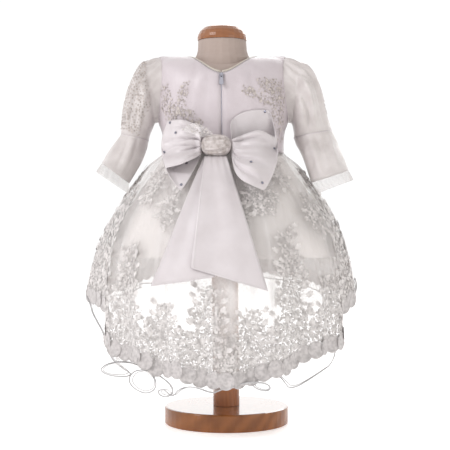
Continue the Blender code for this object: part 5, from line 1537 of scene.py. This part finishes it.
# the bow: two loops, a gathered knot, two tails and a scrap of beaded net
bow = {
    "clear": 0.0023, "endClear": 0.0010, "flareDrop": 0.006, "waistSpare": 0.0012, "spareTop": 0.465,
    "straightBack": 0.052, "crest": 0.0062, "rootY": -0.0925, "endBulge": 0.010, "wave": 0.0022,
    # share, then front top x z, front low x z, back top x z, back low x z, and the puff
    "right": [(0.00, 0.0122, 0.4510, 0.0122, 0.4290, 0.0122, 0.4610, 0.0122, 0.4290, 0.0055),
              (0.14, 0.0210, 0.4550, 0.0160, 0.4030, 0.0120, 0.4790, 0.0180, 0.4120, 0.018),
              (0.36, 0.0360, 0.4610, 0.0250, 0.3880, 0.0240, 0.4920, 0.0320, 0.4020, 0.032),
              (0.68, 0.0580, 0.4660, 0.0400, 0.3790, 0.0450, 0.4990, 0.0520, 0.3980, 0.040),
              (1.00, 0.0800, 0.4570, 0.0580, 0.3715, 0.0700, 0.5010, 0.0720, 0.4000, 0.026)],
    "left": [(0.00, -0.0343, 0.4600, -0.0343, 0.4290, -0.0343, 0.4610, -0.0343, 0.4290, 0.0055),
             (0.14, -0.0360, 0.4700, -0.0400, 0.4240, -0.0330, 0.4700, -0.0390, 0.4170, 0.018),
             (0.36, -0.0490, 0.4780, -0.0480, 0.4190, -0.0460, 0.4770, -0.0450, 0.4040, 0.032),
             (0.68, -0.0660, 0.4830, -0.0660, 0.4110, -0.0640, 0.4820, -0.0545, 0.3860, 0.038),
             (1.00, -0.0840, 0.4830, -0.0870, 0.4070, -0.0820, 0.4820, -0.0640, 0.3720, 0.024)],
    # height share where a crease leaves the knot and where it ends, its depth and half width
    "creases": {"right": [(0.88, 0.86, -0.0070, 0.10, 0.95), (0.62, 0.68, 0.0040, 0.12, 1.0),
                          (0.46, 0.42, -0.0072, 0.10, 1.00), (0.22, 0.12, -0.0055, 0.09, 0.9),
                          (0.34, 0.26, 0.0045, 0.09, 0.8)],
                "left": [(0.60, 0.54, -0.0076, 0.11, 1.1), (0.82, 0.88, -0.0045, 0.09, 0.9),
                         (0.36, 0.22, -0.0066, 0.10, 1.0), (0.18, 0.08, 0.0045, 0.09, 0.7)]},
    "knotCentre": (-0.011, -0.0955, 0.4425), "knotHalf": (0.0235, 0.0165, 0.0165), "knotPleats": 11,
    "turnBulge": 0.004, "wall": 0.0008, "tailGather": 0.0008, "tailWaves": (1.5, 4.0), "loopWaves": 1.5,
    "rootShare": 0.30, "crownLoss": 0.28, "creaseStart": 0.12, "knotRound": 0.8, "pleatDepth": 0.085,
    "blossomSeed": 5, "blossomTries": 70, "blossomPitch": 0.0042, "blossomLift": 0.0006,
    # each tail's flat size, its corners as x and z, how far it stands clear, and its ripple
    "tails": [("bowTailBack", "bow_tail_back", (0.105, 0.225),
               ((-0.0300, 0.4254), (-0.0060, 0.4254), (-0.1091, 0.2298), (-0.0143, 0.2444)), 0.0028, 0.0012),
              ("bowTailFront", "bow_tail_front", (0.125, 0.235),
               ((-0.0290, 0.4256), (0.0045, 0.4256), (-0.0504, 0.2577), (0.0623, 0.2243)), 0.0071, 0.0016)]}


def backDepth(x, height, clear):
    if height >= body["waist"] + bow["flareDrop"]:
        _, halfWidth, halfDepth = bodySize(bodyLevel(height), -clear)
        halfDepth += bow["waistSpare"] * smoothStep((bow["spareTop"] - height) / 0.015)
        share = min(1.0, abs(x) / halfWidth)
        return halfDepth * (1.0 - share ** body["power"]) ** (1.0 / body["power"])
    halfWidth = readTable(skirt["profile"], 1, height - bow["flareDrop"]) + clear
    halfDepth = readTable(skirt["profile"], 2, height - bow["flareDrop"]) + clear
    share = min(1.0, abs(x) / halfWidth)
    crest = bow["crest"] * smoothStep((body["waist"] - height) / 0.03)
    return halfDepth * math.sqrt(1.0 - share * share) + crest


def loopPoint(word, share, heightShare, layer):
    rows = bow[word]
    first = 1 if layer == "front" else 5
    topX, topZ, lowX, lowZ = (readTable(rows, first + index, share) for index in range(4))
    side = 1.0 if word == "right" else -1.0
    x = mix(lowX, topX, heightShare) + side * bow["endBulge"] * share ** 3 * math.sin(math.pi * heightShare)
    z = mix(lowZ, topZ, heightShare)
    wave = bow["wave"] * math.sin(share * math.pi) * math.cos(heightShare * math.tau * bow["loopWaves"])
    clear = bow["clear"] + bow["endClear"] * smoothStep(share / bow["rootShare"])
    y = -max(bow["straightBack"], backDepth(x, z, clear))
    y = min(y, mix(bow["rootY"], y, smoothStep(share / bow["rootShare"])))
    if layer == "front":
        crown = 1.0 - bow["crownLoss"] * (1.0 - math.sin(math.pi * heightShare)) * smoothStep(
            share / bow["rootShare"])
        y -= readTable(rows, 9, share) * crown + wave
        for start, end, depth, half, reach in bow["creases"][word]:
            at = (heightShare - mix(start, end, share)) / (half * (0.35 + 0.65 * share))
            fade = smoothStep(share / bow["creaseStart"])
            y -= depth * bump(at) * fade * (1.0 - smoothStep((share - reach * 0.6) / 0.4))
    return leaned((x, y, z))


def buildLoop(word):
    along, high, turnSteps = 30, 40, 6
    rows = []
    for step in range(high + 1):
        heightShare = step / high
        line = [loopPoint(word, index / along, heightShare, "front") for index in range(along + 1)]
        back = [loopPoint(word, 1.0 - index / along, heightShare, "back") for index in range(along + 1)]
        for turnStep in range(1, turnSteps):
            part = turnStep / turnSteps
            point = line[along].lerp(back[0], smoothStep(part))
            point.x += math.copysign(bow["turnBulge"] * math.sin(math.pi * part), point.x)
            line.append(point)
        rows.append(line + back)
    name = "bowLoop" + word.capitalize()
    made = clothSheet(name, rows, finishes["bowSatin"], wall=bow["wall"], flip=word == "left")
    dressAs(made, "bow_loop_" + word)
    over = Vector((0.0, -0.0006, 0.0))
    edges = [[rows[line][index] + over for index in range(along)] for line in (1, high - 1)]
    stitchPiece(name + "Stitches", edges, stitchSizes["bow"])


def buildTails():
    across, down, edgeStart, over = 24, 60, 6, Vector((0.0, -0.0007, 0.0))
    ripples, gathers = bow["tailWaves"]
    for name, node, flat, corners, clear, ripple in bow["tails"]:
        topLeft, topRight, lowLeft, lowRight = (Vector(corner) for corner in corners)
        rows = []
        for row in range(down + 1):
            share = row / down
            line = []
            for column in range(across + 1):
                part = column / across
                x, z = topLeft.lerp(topRight, part).lerp(lowLeft.lerp(lowRight, part), share)
                swing = ripple * math.cos(part * math.tau * ripples) * smoothStep(share * 3.0)
                gather = bow["tailGather"] * math.cos(part * math.tau * gathers)
                gather *= smoothStep(1.0 - share / 0.25)
                line.append(leaned((x, -(backDepth(x, z, clear) + swing + gather), z)))
            rows.append(line)
        made = clothSheet(name, rows, finishes["bowSatin"], wall=bow["wall"], flip=True)
        dressAs(made, node)
        edges = [[rows[row][column] + over for row in range(edgeStart, down)] for column in (1, across - 1)]
        edges.append([rows[down - 1][column] + over for column in range(1, across)])
        stitchPiece(name + "Stitches", edges, stitchSizes["bow"])


def softPower(value):
    return math.copysign(abs(value) ** bow["knotRound"], value)


def knotPoint(tilt, angle, lift=0.0):
    along, reach = -math.cos(tilt), math.sin(tilt) ** bow["knotRound"]
    pleat = math.cos(bow["knotPleats"] * angle + 2.6 * along) * math.sin(tilt) ** 0.6
    pleat = 1.0 + bow["pleatDepth"] * pleat
    y, z = (reach * softPower(value) / 1.06 for value in (math.cos(angle), math.sin(angle)))
    centre, half = bow["knotCentre"], bow["knotHalf"]
    return leaned((centre[0] + half[0] * softPower(along),
                   centre[1] + (half[1] + lift) * y * pleat, centre[2] + (half[2] + lift) * z * pleat))


def isClear(places, point, pitch):
    return all((point - place[0]).length >= pitch for place in places)


def buildKnot():
    around, steps = 110, 26
    points = [knotPoint(math.pi * (0.35 + step * (steps - 0.7) / steps) / steps, math.tau * index / around)
              for step in range(steps + 1) for index in range(around)]
    faces = [face for _, _, face in gridFaces(steps + 1, around, True)]
    faces += [tuple(reversed(range(around))), tuple(range(len(points) - around, len(points)))]
    made = linkMesh("bowKnot", points, faces, finishes["knotThread"])
    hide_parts("bow_knot")
    carry(made)
    # beads and small blossoms gathered on the knot
    draw = random.Random(bow["blossomSeed"])
    places = []
    for _ in range(bow["blossomTries"]):
        tilt, angle = draw.uniform(0.5, 2.65), draw.uniform(2.0, 4.3)
        point = knotPoint(tilt, angle, bow["blossomLift"])
        if isClear(places, point, bow["blossomPitch"]):
            normal = (point - leaned(bow["knotCentre"])).normalized()
            heading = Vector((draw.uniform(-1, 1), 0.0, draw.uniform(-1, 1)))
            places.append((point, normal, heading, draw.uniform(0.7, 0.95), draw.choice((1, 1, 3, 5))))
    motifPiece("knotBlossom", places, "knotBlossom")


# a scrap of beaded net beside the knot
knotNet = {"root": ((-0.0320, 0.4545), (-0.0160, 0.4589)), "tip": ((-0.0640, 0.4640), (-0.0200, 0.4765)),
           "y": (-0.1020, -0.1210), "crown": 0.006, "waves": ((0.0022, 3.0), (0.0010, 7.0)),
           "seed": 11, "tries": 34, "pitch": 0.0040, "lift": 0.0006}


def knotNetPoint(share, part, lift=0.0):
    # share runs from the knot to the free edge, part from the left to the right
    (rootX, rootZ), (tipX, tipZ) = (Vector(knotNet[edge][0]).lerp(Vector(knotNet[edge][1]), part)
                                    for edge in ("root", "tip"))
    tipZ += knotNet["crown"] * math.sin(math.pi * part)
    share *= 1.0 - 0.72 * smoothStep((part - 0.35) / 0.65)
    wave = sum(depth * share * math.cos(part * math.tau * count) for depth, count in knotNet["waves"])
    return leaned((mix(rootX, tipX, share), mix(knotNet["y"][0], knotNet["y"][1], share) + wave - lift,
                   mix(rootZ, tipZ, share)))


def buildKnotNet():
    along, across = 16, 48
    rows = [[knotNetPoint(row / along, column / across) for column in range(across + 1)]
            for row in range(along + 1)]
    made = clothSheet("bowKnotFrill", rows, finishes["frillNet"])
    dressAs(made, "bow_knot_frill")
    draw = random.Random(knotNet["seed"])
    places = []
    for _ in range(knotNet["tries"]):
        share, part = draw.uniform(0.15, 0.97), draw.uniform(0.03, 0.97)
        point = knotNetPoint(share, part, knotNet["lift"])
        if isClear(places, point, knotNet["pitch"]):
            heading = Vector((draw.uniform(-1, 1), 0.0, draw.uniform(-1, 1)))
            places.append((point, Vector((0.0, -1.0, 0.2)), heading, 0.8, draw.choice((1, 3, 5, 5))))
    motifPiece("knotFrillBlossom", places, "knotBlossom")


# crystals sewn to the bow: the loop, then share and height share on its front or back layer
crystals = {"radius": 0.0023, "lift": 0.0005,
            "places": [("left", 0.94, 0.95, "front"), ("left", 0.74, 0.71, "front"),
                       ("left", 0.97, 0.34, "front"), ("left", 0.62, 0.27, "back"),
                       ("left", 0.93, 0.05, "back"), ("right", 0.93, 0.97, "back"),
                       ("right", 0.965, 0.77, "front"), ("right", 0.55, 0.38, "front"),
                       ("right", 0.90, 0.10, "front")]}


def crystalShape(radius):
    # a flat-backed faceted stone: a table, a ring of crown facets and a girdle
    points, faces = [], []
    for height, share, offset in ((0.0, 0.86, 0.0), (0.35, 1.0, 0.0), (0.80, 0.55, 0.5)):
        points += ringPoints(8, share * radius, height * radius, offset)
    for index, after in neighbours(8):
        faces += [(index, after, 8 + after, 8 + index), (8 + index, 8 + after, 16 + index),
                  (8 + after, 16 + after, 16 + index)]
    faces += [tuple(reversed(range(8))), tuple(range(16, 24))]
    return points, faces


def buildCrystals():
    points, faces = [], []
    shape, shapeFaces = crystalShape(crystals["radius"])
    for word, share, heightShare, layer in crystals["places"]:
        point, normal, _, _ = frameOn(
            lambda u, v: loopPoint(word, min(1.0, u), min(1.0, max(0.0, v)), layer), share, heightShare,
            0.02, 0.03)
        normal = normal if normal.y < 0.0 else -normal
        turned = normal.to_track_quat("Z", "Y").to_matrix()
        start = len(points)
        points += [point + normal * crystals["lift"] + turned @ corner for corner in shape]
        faces += [tuple(start + index for index in face) for face in shapeFaces]
    made = linkMesh("bowCrystals", points, faces, finishes["crystal"])
    made.data.shade_flat()
    carry(made)


for word in ("left", "right"):
    buildLoop(word)
buildTails()
buildKnot()
buildKnotNet()
buildCrystals()
print("bow done")


# the zip's coil shows as a fine line of teeth between the panels
def buildZipTeeth():
    steps, aside, fromWaist, belowNotch = 59, 0.00045, 0.02, 0.006
    lines = []
    for side in (-1, 1):
        line = []
        for step in range(steps + 1):
            level = mix(fromWaist, bodyLevel(body["notch"] - belowNotch), step / steps)
            x = body["zipX"] + side * aside
            point = bodyPoint(abs(bodyAngle(x, level)), level, drags["lift"])
            line.append(leaned((x, point.y, point.z)))
        lines.append(line)
    stitchPiece("zipTeeth", lines, stitchSizes["zipTeeth"], "tape")


buildZipTeeth()

# the stand, the bust and the zip's hard pieces keep their solids' own shape
for node, finish in (("stand_base", "baseWood"), ("stand_pole", "poleWood"), ("neck_cap", "capWood"),
                     ("form_torso", "jersey"), ("zip_tape", "tape"), ("zip_slider", "zipMetal"),
                     ("zip_pull", "zipMetal")):
    carried = frame["nodes"][node]
    carried.data.materials.clear()
    carried.data.materials.append(finishes[finish])
print("stand and zip finished")

# a white floor and soft studio light
studio = {"floorHalf": 6.0, "sky": 0.56, "backdrop": 1.05, "shine": 1.5, "skyColour": (1.0, 0.962, 0.93),
          "aim": (0.0, 0.0, 0.33),
          "lamps": (("keyLight", (-2.0, -1.3, 1.9), 0.9, 34.0, (0.985, 0.975, 1.0)),
                    ("fillLight", (1.9, -1.6, 0.9), 1.6, 9.0, (1.0, 0.98, 0.97)),
                    ("backLight", (0.6, 1.9, 1.6), 1.6, 18.0, (1.0, 1.0, 1.0)))}
half = studio["floorHalf"]
floorMesh = newMesh("floor", [(-half, -half, 0.0), (half, -half, 0.0), (half, half, 0.0), (-half, half, 0.0)],
                    [(0, 1, 2, 3)])
floor = linkObject("floor", floorMesh)
floorMesh.materials.append(endMaterial(newMaterial("whiteFloor")[0], {
    "Base Color": (0.95, 0.95, 0.95, 1), "Roughness": 0.5, "Emission Color": (1, 1, 1, 1),
    "Emission Strength": 0.45}))

world = bpy.data.worlds.new("studio")
world.use_nodes = True
sky = world.node_tree
rays = addNode(sky, "ShaderNodeLightPath").outputs
seenByCamera, seenInShine = rays["Is Camera Ray"], rays["Is Glossy Ray"]
skyStrength = mapRange(sky, seenInShine, toLow=studio["sky"], toHigh=studio["shine"])
white = mathNode(sky, "MAXIMUM", seenByCamera, seenInShine)
setInputs(sky, sky.nodes["Background"], {
    "Strength": mapRange(sky, seenByCamera, toLow=skyStrength, toHigh=studio["backdrop"]),
    "Color": blendColour(sky, white, studio["skyColour"], (1.0, 1.0, 1.0))})
bpy.context.scene.world = world

for name, place, size, power, colour in studio["lamps"]:
    lamp = bpy.data.lights.new(name, "AREA")
    lamp.shape, lamp.size, lamp.energy, lamp.color = "DISK", size, power, colour
    holder = linkObject(name, lamp)
    holder.location = place
    holder.rotation_euler = (Vector(studio["aim"]) - Vector(place)).to_track_quat("-Z", "Y").to_euler()

bpy.context.scene.view_settings.view_transform = "Standard"
bpy.context.scene.cycles.transparent_max_bounces = 24

# the motif shapes were only patterns for the embroidery
for motif in list(motifShelf.objects):
    bpy.data.objects.remove(motif)
bpy.data.collections.remove(motifShelf)
